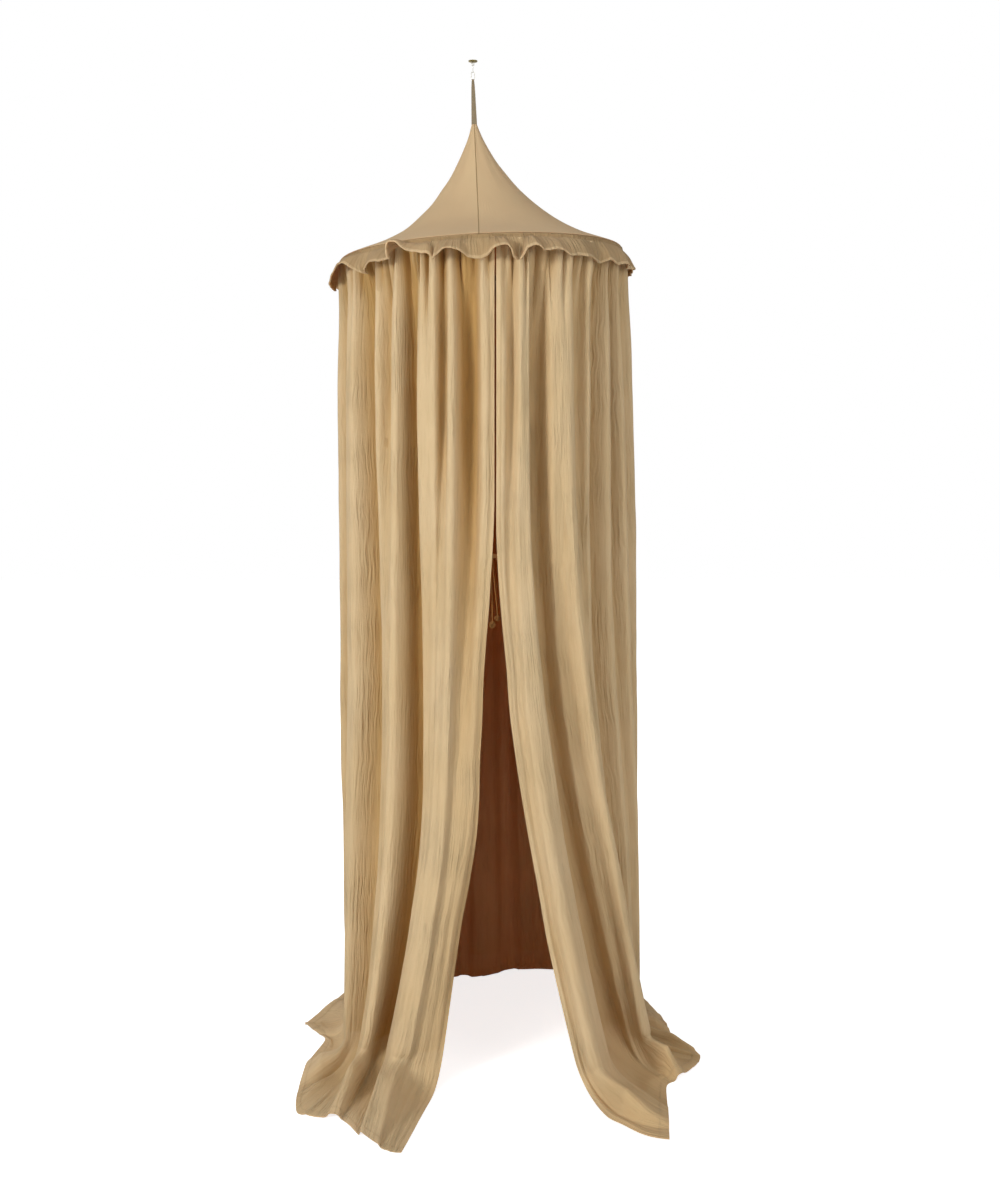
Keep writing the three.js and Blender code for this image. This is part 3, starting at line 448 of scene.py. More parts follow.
FRONT_RIGHT = {
    "from": OPENING_DEGREES + HALF_OPENING_DEGREES,
    "to": 90,
    "landing": [[0, 0.68, -1.3], [0.08, 0.77, -1.31], [0.26, 0.97, -0.72], [0.45, 1.12, -0.73],
                [0.62, 1.08, -0.4], [0.8, 1.09, -0.27], [1, 1.09, 0]],
    "hem": [[0, 1.145, -1.83], [0.15, 1.18, -1.46], [0.28, 1.22, -1.05], [0.46, 1.33, -0.94],
            [0.6, 1.48, -0.67], [0.72, 1.5, -0.57], [0.82, 1.45, -0.42], [0.92, 1.34, -0.22],
            [1, 1.34, 0]],
    "bow": [[0, -0.05, -0.13], [0.1, -0.04, -0.08], [0.28, 0, 0], [1, 0, 0]],
    "sweep": [[0, 0.33, 1.7], [0.5, 0.3, 2], [0.85, 0, 0.5], [1, 0, 0.3]],
    "folds": [
        [0, 0, 0, 0.2, 0.05, 0.2], [0.03, 0.02, 0.02, 0.7, 0.5, 0.3],
        [0.078, 0.05, 0.045, -0.3, 0.3, 0.2], [0.115, 0.09, 0.08, 0.8, 0.8, 1],
        [0.15, 0.155, 0.15, 0.7, 0.9, 0.6], [0.185, 0.2, 0.2, -0.8, -0.8, -0.6],
        [0.24, 0.255, 0.265, -1, -1, -1], [0.285, 0.32, 0.35, 0.4, -0.3, -0.1],
        [0.36, 0.4, 0.45, 0.9, 1, 1], [0.465, 0.46, 0.53, -0.5, 0.1, 0.2],
        [0.49, 0.48, 0.56, 0.4, 0.2, 0], [0.565, 0.565, 0.62, -0.8, -0.8, -0.6],
        [0.65, 0.64, 0.7, 0.8, 0.3, 0.2], [0.7, 0.69, 0.75, -0.8, -0.3, 0],
        [0.757, 0.745, 0.8, 0.8, 0.8, 0.5], [0.85, 0.84, 0.88, -0.6, -0.5, -0.4],
        [0.94, 0.94, 0.95, 1, 0.9, 0.5], [1, 1, 1, -0.4, -0.4, -0.3]],
    "fold_shade": 0.42,
    "valley": 1.5,
    "lying": 0.34,
    "ease": [[0, 8], [0.35, 8], [0.5, 9.5], [0.57, 5], [0.76, 3.5], [0.83, 0], [1, 0]],
}


def even_folds(drifts):
    count = len(drifts) + 1
    seam_depths = [-0.4, -0.4, -0.3]
    folds = [[0, 0, 0] + seam_depths]
    for k, drift in enumerate(drifts):
        place = (k + 1 + drift) / count
        depth = 0.6 if k % 2 == 0 else -0.6
        folds.append([place, place, place, depth, depth, 0.7 * depth])
    return folds + [[1, 1, 1] + seam_depths]


BACK_LEFT = {
    "from": -180,
    "to": -90,
    "landing": [[0, 0, 0.93], [0.35, -0.43, 0.85], [0.7, -0.84, 0.53], [1, -0.925, 0]],
    "hem": [[0, 0, 1.08], [0.35, -0.5, 1.06], [0.65, -0.95, 0.8], [0.86, -1.1, 0.5], [1, -1.27, 0]],
    "sweep": [[0, 0.3, 1.6], [1, 0.4, 3.2]],
    "folds": even_folds([0.2, -0.1, 0.3, 0, -0.3, 0.1, 0.2, -0.2, 0]),
    "lift": 0.2,
    "fold_shade": 0.6,
}
BACK_RIGHT = {
    "from": 90,
    "to": 180,
    "landing": [[0, 1.09, 0], [0.3, 1, 0.5], [0.6, 0.75, 0.95], [0.8, 0.42, 1.08], [1, 0, 0.93]],
    "hem": [[0, 1.34, 0], [0.2, 1.28, 0.3], [0.45, 1.12, 0.8], [0.65, 0.8, 1.2], [0.8, 0.45, 1.3],
            [1, 0, 1.08]],
    "sweep": [[0, 0, 0.3], [0.4, 0.1, 1], [1, 0.3, 1.6]],
    "folds": even_folds([-0.1, 0.2, 0, -0.3, 0.1, 0.2, -0.2, 0.3, 0]),
    "lift": 0.2,
    "fold_shade": 0.6,
}
NO_BOW = [[0, 0, 0], [1, 0, 0]]
# Heights for which folds are known, as shares of the drop, and the size of a fold of 1 at each
LEVELS = [0, 0.12, 0.5, 0.85, 1]
DEPTHS = [0.003, 0.014, 0.02, 0.026, 0.026]
MIDDLE_DEPTH = DEPTHS[2]
FLOOR_LEVEL = FLOOR + CLOTH / 2 + 0.0003
# Valleys are this much deeper than ridges are high
VALLEY = 2.6
EDGE_WIDTH = 0.02
EASE_WIDTH = 0.22
MILLIMETRE = 0.001
# Gathers under the hoop: their height, and the least and the most width and length of each
WIDE_GATHERS = (0.0155, (0.008, 0.019, 0.02, 0.1))
NARROW_GATHERS = (0.0016, (0.004, 0.007, 0.02, 0.07))
GATHERS_SINK = 0.0035
# Uneven cloth between the folds: height, width across and share of the drop of each kind
SWELL = (0.0018, 0.028, 0.25)
CRUSH = (0.0021, 0.011, 0.06)
CREASE = (0.0009, 0.0055, 0.05)
# Wrinkles of the cloth that lies on the floor: height, width and length
PUCKER = (0.005, 0.024, 0.13)
COLUMN_SPACING = 0.003
ROW_SPACING = 0.006
HEAD_ROWS, HANGING_ROWS, BEND_ROWS, FLOOR_ROWS = 20, 250, 22, 46
HEAD_SHARE = 0.06


def on_floor(table, across):
    x = HOOP_MIDDLE[0] + smooth_along(table, across, 1) * CURTAIN_RADIUS
    y = smooth_along(table, across, 2) * CURTAIN_RADIUS
    return np.stack([x, y, np.full_like(x, FLOOR_LEVEL)], -1)


def over_floor(panel, across, share):
    bow = (4 * share * (1 - share) * CURTAIN_RADIUS)[..., None]
    start, end = on_floor(panel["landing"], across), on_floor(panel["hem"], across)
    table = panel.get("bow", NO_BOW)
    right, back = smooth_along(table, across, 1), smooth_along(table, across, 2)
    aside = np.stack([right, back, np.zeros_like(across)], -1)
    return start + (end - start) * share[..., None] + bow * aside


def hanging(panel, across, drop):
    angle = np.radians(panel["from"] + (panel["to"] - panel["from"]) * across)
    head = crown_point(around(CURTAIN_RADIUS, angle, HEAD_HEIGHT))
    landing = on_floor(panel["landing"], across)
    held = smooth_along(panel["sweep"], across, 1)
    power = smooth_along(panel["sweep"], across, 2)
    sweep = np.maximum(0, (drop - held) / (1 - held)) ** power
    point = head + (landing - head) * sweep[..., None]
    point[..., 2] = head[..., 2] + (landing[..., 2] - head[..., 2]) * drop
    if "ease" in panel:
        # The free edges hang a few millimetres to the right of the solids' opening
        from_edge = 1 - across if panel["from"] < 0 else across
        eased = 1 - smoothstep(0, EASE_WIDTH, from_edge)
        point[..., 0] += MILLIMETRE * smooth_along(panel["ease"], drop) * eased
    return point


# Gathers below the head: folds that each run out at their own depth
def gathers(metres, drop, seed, narrow, wide, short, long):
    rng = np.random.default_rng(seed)
    places, heights, lengths = [-0.02], [0.0], [0.1]
    while places[-1] < metres.max() + 0.03:
        places.append(places[-1] + rng.uniform(narrow, wide))
        side = 1 if len(places) % 2 else -1
        heights.append(side * rng.uniform(0.55, 1.2))
        lengths.append(rng.uniform(short, long))
    places, heights, lengths = np.array(places), np.array(heights), np.array(lengths)
    k = np.clip(np.searchsorted(places, metres) - 1, 0, len(places) - 2)
    t = (metres - places[k]) / (places[k + 1] - places[k])
    s = np.where(heights[k + 1] > heights[k], np.sin(np.pi / 2 * t), 1 - np.cos(np.pi / 2 * t))

    def height(j):
        return heights[j] * np.exp(-np.minimum(drop / lengths[j], 6) ** 1.5)

    return height(k) * (1 - s) + height(k + 1) * s


# From one fold line to the next: a flat ridge, a steep wall close to it, and the valley's floor
def fold_profile(t, rises):
    from_ridge = np.where(rises, 1 - t, t)
    wall = 0.4 * (0.5 - 0.5 * np.cos(np.pi * from_ridge)) + 0.6 * smoothstep(0.18, 0.6, from_ridge)
    return np.where(rises, 1 - wall, wall)


def level_values(values, drop):
    return smooth_along([[level, value] for level, value in zip(LEVELS, values)], drop)


# Points of the hanging cloth for columns between fold lines and a drop for each row, and how
# much painted shade each point gets: more the deeper it lies in a valley, and a painted shadow under the head
def fold_surface(panel, lines, t_line, drop, seed):
    folds = np.array(panel["folds"], float)
    places = np.stack([level_values(fold[[0, 0, 1, 2, 2]], drop) for fold in folds], 1)
    depths = np.stack([level_values(fold[[3, 3, 4, 5, 5]], drop) for fold in folds], 1)
    scale = level_values(DEPTHS, drop)[:, None]
    # Ridges are broad and round, valleys are deeper, and some run out towards the foot, but
    # not at the side seam, where the front and the rear curtain have to meet
    seam_place = 0 if panel["from"] < 0 else 1
    off_seam = (folds[:, 0] != seam_place)[None, :]
    foot_valley = panel.get("valley", VALLEY)
    valleys = VALLEY + (foot_valley - VALLEY) * smoothstep(0.45, 0.95, drop)[:, None] * off_seam
    depths = np.where(depths < 0, depths * valleys, depths)
    first, second = depths[:, lines], depths[:, lines + 1]
    across = places[:, lines] * (1 - t_line) + places[:, lines + 1] * t_line
    share = fold_profile(t_line, second > first)
    depth = (first + (second - first) * share) * scale
    drops = np.broadcast_to(drop[:, None], across.shape)
    arc = CURTAIN_RADIUS * math.radians(panel["to"] - panel["from"])
    metres = across * arc
    edge = np.minimum(metres, arc - metres)
    free = smoothstep(0.0, EDGE_WIDTH, edge)
    rise = (0.5 + 0.5 * smoothstep(0, 0.02, drops)) * (0.35 + 0.65 * free)
    (wide_height, wide_sizes), (narrow_height, narrow_sizes) = WIDE_GATHERS, NARROW_GATHERS
    gathered = wide_height * gathers(metres, drops, seed, *wide_sizes)
    gathered = gathered + narrow_height * gathers(metres, drops, seed + 7, *narrow_sizes) - GATHERS_SINK
    depth = depth + rise * gathered
    lively = 0.35 + 0.65 * (0.5 + 0.5 * ripple(metres / 0.11, drops / 0.3, seed + 4))
    bent = 0.8 * ripple(metres / 0.04, drops / 0.1, seed + 9)
    swell = SWELL[0] * ripple(metres / SWELL[1], drops / SWELL[2], seed + 1)
    crush = CRUSH[0] * ripple(metres / CRUSH[1] + bent, drops / CRUSH[2], seed + 2)
    crease = CREASE[0] * ripple(metres / CREASE[1], drops / CREASE[2], seed + 3)
    depth = depth + free * smoothstep(0.02, 0.2, drops) * (swell + lively * (crush + crease))
    if "curl" in panel:
        depth = depth + smooth_along(panel["curl"], drops) * (1 - smoothstep(0.0, EDGE_WIDTH, arc - metres))
    step = 0.02
    before = hanging(panel, across - step, drops)
    after = hanging(panel, across + step, drops)
    outward = np.stack([after[..., 1] - before[..., 1], before[..., 0] - after[..., 0],
                        np.zeros(across.shape)], -1)
    outward /= np.linalg.norm(outward, axis=2, keepdims=True)
    # Painted shade, darker the deeper a point lies in a valley, and a painted shadow in the gathers right
    # under the head
    seams_and_shade = 0.4 * (1 - smoothstep(0.01, 0.06, drops))
    valley = np.clip(0.15 + seams_and_shade - depth / (scale * VALLEY), 0, 1) * panel.get("fold_shade", 1)
    return hanging(panel, across, drops) + outward * depth[..., None], valley


def curtain_grid(panel, seed):
    folds = np.array(panel["folds"], float)
    arc = CURTAIN_RADIUS * math.radians(panel["to"] - panel["from"])
    lines, shares = [], []
    even = np.linspace(0, 1, 101)
    for k in range(len(folds) - 1):
        # Columns stand evenly along the folded cloth, so that its walls have enough of them
        low, high = (MIDDLE_DEPTH * depth * (VALLEY if depth < 0 else 1) for depth in folds[k:k + 2, 4])
        rise = (high - low) * fold_profile(even, high > low)
        run = np.hypot(np.diff(even) * (folds[k + 1][1] - folds[k][1]) * arc, np.diff(rise))
        run = np.concatenate([[0], np.cumsum(run)])
        steps = max(5, round(run[-1] / COLUMN_SPACING))
        lines += [k] * steps
        shares += list(np.interp(np.arange(steps) / steps * run[-1], run, even))
    lines.append(len(folds) - 2)
    shares.append(1.0)
    lines, shares = np.array(lines), np.array(shares)
    s = fold_profile(shares, folds[lines + 1, 5] > folds[lines, 5])
    foot = folds[lines, 2] * (1 - shares) + folds[lines + 1, 2] * shares
    foot_depth = folds[lines, 5] * (1 - s) + folds[lines + 1, 5] * s
    landing = over_floor(panel, foot, np.zeros_like(foot))
    far = over_floor(panel, foot, np.ones_like(foot))
    bend_start = 1 - FLOOR_BEND / (HOOP_MIDDLE[2] - FLOOR_LEVEL)
    reach = np.minimum(FLOOR_BEND / np.linalg.norm(far - landing, axis=1), 0.6)
    bend_end = over_floor(panel, foot, reach)
    ridge = np.maximum(0, foot_depth) * panel.get("lift", 1)
    drops = np.concatenate([np.linspace(0, HEAD_SHARE, HEAD_ROWS),
                            np.linspace(HEAD_SHARE, bend_start, HANGING_ROWS)[1:]])
    hung, valley = fold_surface(panel, lines, shares, drops, seed)
    above = hung[-1]
    lower = []
    for share in np.linspace(0, 1, BEND_ROWS)[1:]:
        low = above + (landing - above) * share
        out = landing + (bend_end - landing) * share
        point = low + (out - low) * share
        point[:, 2] += share * (2 - share) * ridge * FLOOR_RIDGE
        lower.append(point)
    for share in np.linspace(0, 1, FLOOR_ROWS)[1:]:
        point = over_floor(panel, foot, reach + (1 - reach) * share)
        point[:, 2] += ridge * (FLOOR_RIDGE + (HEM_RIDGE - FLOOR_RIDGE) * share)
        lower.append(point)
    grid = np.concatenate([hung, np.array(lower)])
    # Wrinkles of the cloth that lies on the floor, and a hem that isn't quite flat
    count = len(lower)
    lying = np.zeros(len(grid))
    lying[-count:] = smoothstep(0, 1, np.linspace(0, 2.2, count))
    metres = np.broadcast_to(np.linspace(0, 1, len(lines)) * arc, grid.shape[:2])
    down = np.broadcast_to(np.arange(len(grid))[:, None] * ROW_SPACING, grid.shape[:2])
    puckers = (0.5 + 0.5 * ripple(metres / PUCKER[1], down / PUCKER[2], seed + 5)) ** 2
    grid[..., 2] += lying[:, None] * PUCKER[0] * puckers
    # The turn from hanging to lying is eased
    for _ in range(3):
        grid[-count - 12:-3] = (grid[-count - 13:-4] + 2 * grid[-count - 12:-3] + grid[-count - 11:-2]) / 4
    # Painted shade on the floor: in the hollows between the ridges, fading out towards the hem, and over the
    # cloth that lies there
    fading = np.linspace(0.65, 0, count)[:, None] ** 1.5 * panel.get("fold_shade", 1)
    painted_floor_shade = smoothstep(0, 0.5, np.linspace(0, 1, count))[:, None] * panel.get("lying", 0)
    foot = np.clip(0.15 - foot_depth, 0, 1)[None, :] * fading + painted_floor_shade
    return grid, np.concatenate([valley, foot])


# The front curtains and the tie: their placement is baked into their points
def with_flap(piece):
    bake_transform(piece)


def make_curtain(name, node, panel, seed, seams, free_edge, body):
    grid, valley = curtain_grid(panel, seed)
    for column, (axis, level) in seams:
        inside = np.sign(grid[0, column + (3 if column == 0 else -3), axis] - level)
        grid[:, column, axis] = level - inside * CLEARANCE / 2
    across, down = runs(grid)
    hem_gap = down[-1:] - down
    if free_edge == "right":
        edge_gap = across[:, -1:] - across
    elif free_edge == "left":
        edge_gap = across
    else:
        edge_gap = np.full(across.shape, 0.5)
    hem = np.maximum(1 - smoothstep(0.0095, 0.0125, edge_gap), 1 - smoothstep(0.0165, 0.0195, hem_gap))
    thickness = CLOTH + 0.0007 * hem
    grid[..., 2] = np.maximum(grid[..., 2], FLOOR + thickness / 2 + 0.0002)
    # The cloth map keeps an even pitch across, so that crinkles run down the folds
    mean = across.mean(0)[None, :] + np.zeros_like(across)
    # The folds map carries how much painted shade each point gets
    maps = {"cloth": np.stack([mean + seed, -down], -1), "hems": np.stack([edge_gap, hem_gap], -1),
            "folds": np.stack([valley, 0 * valley], -1)}
    axes = [None, None]
    for column, (axis, _) in seams:
        axes[0 if column == 0 else 1] = np.eye(3)[axis]
    mesh = cloth_mesh(name, grid, thickness, maps, seam_axes=axes)
    piece = link(mesh, name, MUSLIN)
    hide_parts(node)
    if body == "crown":
        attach(piece, "crown")
    else:
        with_flap(piece)


# Seams lie in a plane: its axis and its level. Each curtain: its name and node, its tables and seed,
# its seams and free edge, and its body, which only the rear curtains are attached to.
side = (1, 0.0)
middle = (0, float(HOOP_MIDDLE[0]))
make_curtain("curtain_left", "curtain_front_left", FRONT_LEFT, 11, [(0, side)], "right",
             "left_flap")
make_curtain("curtain_right", "curtain_front_right", FRONT_RIGHT, 23, [(-1, side)], "left",
             "right_flap")
make_curtain("curtain_rear_left", "curtain_back_left", BACK_LEFT, 37, [(0, middle), (-1, side)], None,
             "crown")
make_curtain("curtain_rear_right", "curtain_back_right", BACK_RIGHT, 41, [(0, side), (-1, middle)], None,
             "crown")


# Roof: drawn inwards between the tip and the hoop, with a seam at the front and at the back
ROOF_SHARES = [[0, 0, 0], [0.1, 0.03, 0.034], [0.2, 0.073, 0.08], [0.3, 0.122, 0.134],
               [0.4, 0.177, 0.201], [0.5, 0.249, 0.274], [0.6, 0.322, 0.364], [0.7, 0.422, 0.471],
               [0.8, 0.54, 0.6], [0.9, 0.73, 0.77], [1, 1, 1]]
ROOF_CLOTH = 0.0012
ROOF_REACH = CASING_OUTER + CLEARANCE + 0.00075


def roof_edge(degrees):
    return (HOOP_RADIUS + ROOF_REACH * math.cos(math.radians(degrees)),
            ROOF_HEIGHT - ROOF_REACH * math.sin(math.radians(degrees)))


def make_roof():
    near = np.array([0.3, 0.7, 1.1, 1.6, 2.2, 3]) / 300
    places = [np.linspace(0, 2 * np.pi, 480, endpoint=False)]
    places += [middle + side * near for middle in (0, np.pi) for side in (-1, 1)]
    angle = np.sort(np.concatenate(places) % (2 * np.pi))[None, :]
    edge_radius, edge_drop = roof_edge(68)
    tip_radius = 0.0053
    down = np.linspace(0, 1, 96)[:, None]
    left, right = smooth_along(ROOF_SHARES, down, 1), smooth_along(ROOF_SHARES, down, 2)
    out = left + (right - left) * (1 + np.sin(angle)) / 2
    radius = tip_radius + (edge_radius - tip_radius) * out
    # Seams stand up a little, tension draws fine ridges from the tip, and the rim puckers
    turn = np.minimum(np.abs(angle), np.minimum(np.abs(angle - np.pi), np.abs(angle - 2 * np.pi)))
    gap = turn * radius
    seam = np.exp(-(gap / 0.0026) ** 2) - 2.2 * np.exp(-(gap / 0.0009) ** 2)
    tension = ripple(angle / (2 * np.pi) * 28, down * 2.2, 5, 28) * smoothstep(0, 0.2, down)
    tension = tension * (1 - smoothstep(0.5, 0.9, down))
    rim = ripple(angle / (2 * np.pi) * 150, down * 6, 6, 150) * smoothstep(0.8, 1.0, down)
    radius = radius + 0.0008 * seam + 0.0011 * tension + 0.0007 * rim
    grid = crown_point(around(radius, angle, -down * edge_drop))
    # Its hem goes on round the casing
    rows = [grid]
    for degrees in (62, 56, 50, 45):
        edge = roof_edge(degrees)
        rows.append(crown_point(around(edge[0], angle, -edge[1])))
    grid = np.concatenate(rows)
    across, length = runs(grid)
    from_seam = turn * np.concatenate([radius, np.repeat(radius[-1:], len(grid) - len(radius), 0)])
    maps = {"cloth": np.stack([angle * 0.3 + np.zeros_like(across), -length], -1),
            "hems": np.stack([from_seam, 0.5 + 0 * from_seam], -1)}
    piece = link(cloth_mesh("roof", grid, ROOF_CLOTH, maps, closed=True), "roof", PLAIN_COTTON)
    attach(piece, "crown")
    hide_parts("roof_gore_left", "roof_gore_right")


make_roof()


# Casing: a tunnel of fabric round the hoop, open along its underside
def make_casing():
    angle = np.linspace(0, 2 * np.pi, 480, endpoint=False)[None, :]
    around_rod = np.radians(np.linspace(37, 323, 26))[:, None]
    pucker = 0.00016 * ripple(angle / (2 * np.pi) * 190, around_rod, 8, 190)
    radius = (CASING_INNER + CASING_OUTER) / 2 - 0.0001 + pucker
    grid = crown_point(around(HOOP_RADIUS + radius * np.sin(around_rod), angle,
                              -ROOF_HEIGHT - radius * np.cos(around_rod)))[::-1]
    across, length = runs(grid)
    maps = {"cloth": np.stack([angle * 0.3 + np.zeros_like(across), -length], -1)}
    piece = link(cloth_mesh("casing", grid, 0.0008, maps, closed=True), "casing", RUFFLE_CLOTH)
    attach(piece, "crown")
    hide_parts("hoop_casing")


make_casing()

# Ruffle. Columns: how far round from the back, past the left side and the front, and how far
# the cloth stands out there from hanging straight down, as a share of a quarter turn.
RUFFLE = [
    [0, 0.58], [0.0194, 0.33], [0.0417, 0.76], [0.0611, 0.27], [0.0861, 0.69], [0.1056, 0.38],
    [0.1278, 0.8], [0.1472, 0.29], [0.1694, 0.73], [0.1917, 0.44], [0.2111, 0.8], [0.2319, 0.36],
    [0.2639, 0.42], [0.2972, 0.51], [0.325, 0.67], [0.3472, 0.83], [0.3583, 0.51], [0.3681, 0.21],
    [0.3764, 0.47], [0.3917, 0.68], [0.4139, 0.66], [0.4189, 1.13], [0.4272, 0.92], [0.4383, 0.78],
    [0.4486, 0.69], [0.4536, 0.43], [0.4597, 0.6], [0.4703, 0.8], [0.4792, 0.73], [0.4875, 0.47],
    [0.5, 0.36], [0.5097, 0.53], [0.5153, 0.76], [0.5222, 0.8], [0.5278, 0.46], [0.5381, 0.21],
    [0.545, 0.29], [0.5478, 0.68], [0.5517, 0.81], [0.5603, 0.62], [0.5769, 0.66], [0.5917, 0.49],
    [0.6111, 0.5], [0.6417, 0.21], [0.6486, 0.46], [0.6681, 0.33], [0.6889, 0.47], [0.7083, 0.31],
    [0.725, 0.47], [0.7444, 0.38], [0.7708, 0.33], [0.7917, 0.71], [0.8111, 0.31], [0.8361, 0.78],
    [0.8528, 0.38], [0.8778, 0.67], [0.8944, 0.24], [0.9167, 0.73], [0.9389, 0.33], [0.9611, 0.8],
    [0.9806, 0.4], [1, 0.58],
]
RUFFLE_WIDTH = 0.048
RUFFLE_BAND = 0.008


def make_ruffle():
    band = HOOP_RADIUS + CASING_OUTER + CLEARANCE + 0.00075
    columns = 1440
    round_share = np.arange(columns)[None, :] / columns
    angle = 2 * np.pi * (round_share - 0.5)
    share = np.concatenate([[0], np.linspace(0, 1, 27)])[:, None]
    lean = (np.pi / 2) * smooth_along(RUFFLE, round_share)
    # The cloth leaves the band outwards and turns down towards its edge
    curl = lean + np.radians(20) * (0.5 - share)
    travel = share * RUFFLE_WIDTH
    crushed = 1 + 1.2 * smoothstep(0.68, 0.71, round_share) * (1 - smoothstep(0.77, 0.79, round_share))
    fold = 0.0026 * ripple(round_share * 80, share * 1.5, 15, 80) * smoothstep(0.05, 0.5, share)
    fold = fold + 0.016 * share * (1 - share) * ripple(round_share * 96, share * 1.2, 18, 96)
    small = 0.0015 * crushed * ripple(round_share * 220, share * 2, 16, 220) * smoothstep(0, 0.25, share)
    small = small + 0.0013 * ripple(round_share * 250, share, 17, 250) * (1 - smoothstep(0.1, 0.7, share))
    out = travel * np.sin(curl) + (fold + small) * np.cos(lean)
    fall = RUFFLE_BAND / 2 + travel * np.cos(curl) + (fold + small) * np.sin(lean)
    height = -ROOF_HEIGHT - fall
    height[0] = -ROOF_HEIGHT + RUFFLE_BAND / 4
    # Towards the edge the waves swell sideways, so that their flanks stand steep
    slope = (np.roll(lean, -4, 1) - np.roll(lean, 4, 1)) / (8 * 2 * np.pi / columns)
    sway = np.clip(0.0016 * slope, -0.03, 0.03) * smoothstep(0, 1, share)
    grid = crown_point(around(band + out, angle - sway, height))
    across, length = runs(grid)
    rolled = smoothstep(0.91, 0.95, share) * (1 - 0.3 * smoothstep(0.98, 1.0, share))
    thickness = 0.0011 + 0.0019 * rolled
    from_band = travel + 0 * across
    maps = {"cloth": np.stack([across.mean(0)[None, :] + 0 * across, -length], -1),
            "hems": np.stack([from_band, RUFFLE_WIDTH - from_band], -1)}
    piece = link(cloth_mesh("ruffle_cloth", grid, thickness, maps, closed=True), "ruffle_cloth", RUFFLE_CLOTH)
    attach(piece, "crown")
    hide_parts("ruffle")


make_ruffle()


# Ribbon over the lower link, drawn in at the top
def make_ribbon():
    low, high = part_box("hanging_ribbon")
    fabric, loop_radius = 0.001, 0.00155
    link_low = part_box("chain_link_lower")[0].z
    loop_centre = high.z - loop_radius - fabric / 2
    loop_end = link_low - CLEARANCE
    length = high.z - low.z
    widths = [[0, 0], [0.06, 0.2], [0.2, 0.45], [0.5, 0.68], [1, 1]]
    z = np.linspace(low.z, loop_end, 70)
    opened = smoothstep(0, 1, 1 - (loop_end - z) / (4 * loop_radius))
    flat = (CLEARANCE + fabric) / 2
    reach = flat + (loop_radius - flat) * opened
    turn = np.linspace(0, np.pi, 17)
    y = np.concatenate([-reach, -loop_radius * np.cos(turn), reach[::-1]])
    z = np.concatenate([z, loop_centre + loop_radius * np.sin(turn), z[::-1]])
    lean = CROWN_TIP.x * np.maximum(0, loop_end - z) / (loop_end - low.z)
    width = 0.004 + 0.008 * smooth_along(widths, (high.z - z) / length)
    shares = np.linspace(-0.5, 0.5, 13)[None, :]
    crease = 0.00022 * np.cos(shares * 2 * np.pi * 1.5) * np.sign(y)[:, None]
    points = np.stack([lean[:, None] + shares * width[:, None], y[:, None] + crease,
                       np.broadcast_to(z[:, None], (len(z), 13))], -1)[::-1]
    across, down = runs(points)
    maps = {"cloth": np.stack([across, -down], -1)}
    piece = link(cloth_mesh("ribbon", points, 0.0009, maps), "ribbon", STRAP)
    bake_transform(piece)
    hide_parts("hanging_ribbon")


make_ribbon()

# Tie: its knot's middle is where the solid knot is. Routes are in millimetres from below the knot.
knot_low, knot_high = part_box("tie_knot")
KNOT = (knot_low + knot_high) / 2
CORD_TOP = knot_low.z - CLEARANCE
CORD_RADIUS = 0.001
LONG_CORD = [(-1.3, 0, 0), (-1.4, 0.2, -20), (-1, 0.3, -45), (0, 0.2, -75), (0.7, 0, -100), (0.9, 0, -122)]
SHORT_CORD = [(1.3, 0, 0), (2.6, 0.4, -22), (5.2, 0.6, -48), (8, 0.4, -76), (10.2, 0.2, -96), (10.9, 0, -110)]


def smooth_route(points, count):
    points = np.array(points, float)
    at = np.concatenate([[0], np.cumsum(np.linalg.norm(np.diff(points, axis=0), axis=1))])
    fine = np.linspace(0, at[-1], count)
    return np.stack([smooth_along(np.stack([at, points[:, k]], 1), fine) for k in range(3)], 1)


# A round strand of yarn along a route
def strand_curve(name, points, radius, cyclic=False):
    data = bpy.data.curves.new(name, "CURVE")
    data.dimensions = "3D"
    data.bevel_depth = radius
    data.bevel_resolution = 4
    data.use_fill_caps = True
    spline = data.splines.new("POLY")
    spline.points.add(len(points) - 1)
    for point, place in zip(spline.points, points):
        point.co = (*place, 1)
    spline.use_cyclic_u = cyclic
    piece = bpy.data.objects.new(name, data)
    bpy.context.scene.collection.objects.link(piece)
    data.materials.append(YARN)
    return piece


# A curve becomes a mesh
def as_mesh(piece):
    graph = bpy.context.evaluated_depsgraph_get()
    mesh = bpy.data.meshes.new_from_object(piece.evaluated_get(graph))
    made = bpy.data.objects.new(piece.name + "_yarn", mesh)
    bpy.context.scene.collection.objects.link(made)
    bpy.data.objects.remove(piece)
    return made


def make_cord(name, node, route):
    points = [(KNOT.x + x * MILLIMETRE, KNOT.y + y * MILLIMETRE, CORD_TOP + z * MILLIMETRE)
              for x, y, z in route]
    line = smooth_route(points, 34)
    length = float(np.linalg.norm(np.diff(line, axis=0), axis=1).sum())
    piece = as_mesh(strand_curve(name, line, CORD_RADIUS))
    piece.data.shade_smooth()
    with_flap(piece)
    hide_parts(node)
    return piece, line, length


# A ball of short strands of yarn that stand out evenly from its middle
POMPOM_STRANDS = 900
STRAND_SHARE = 0.075


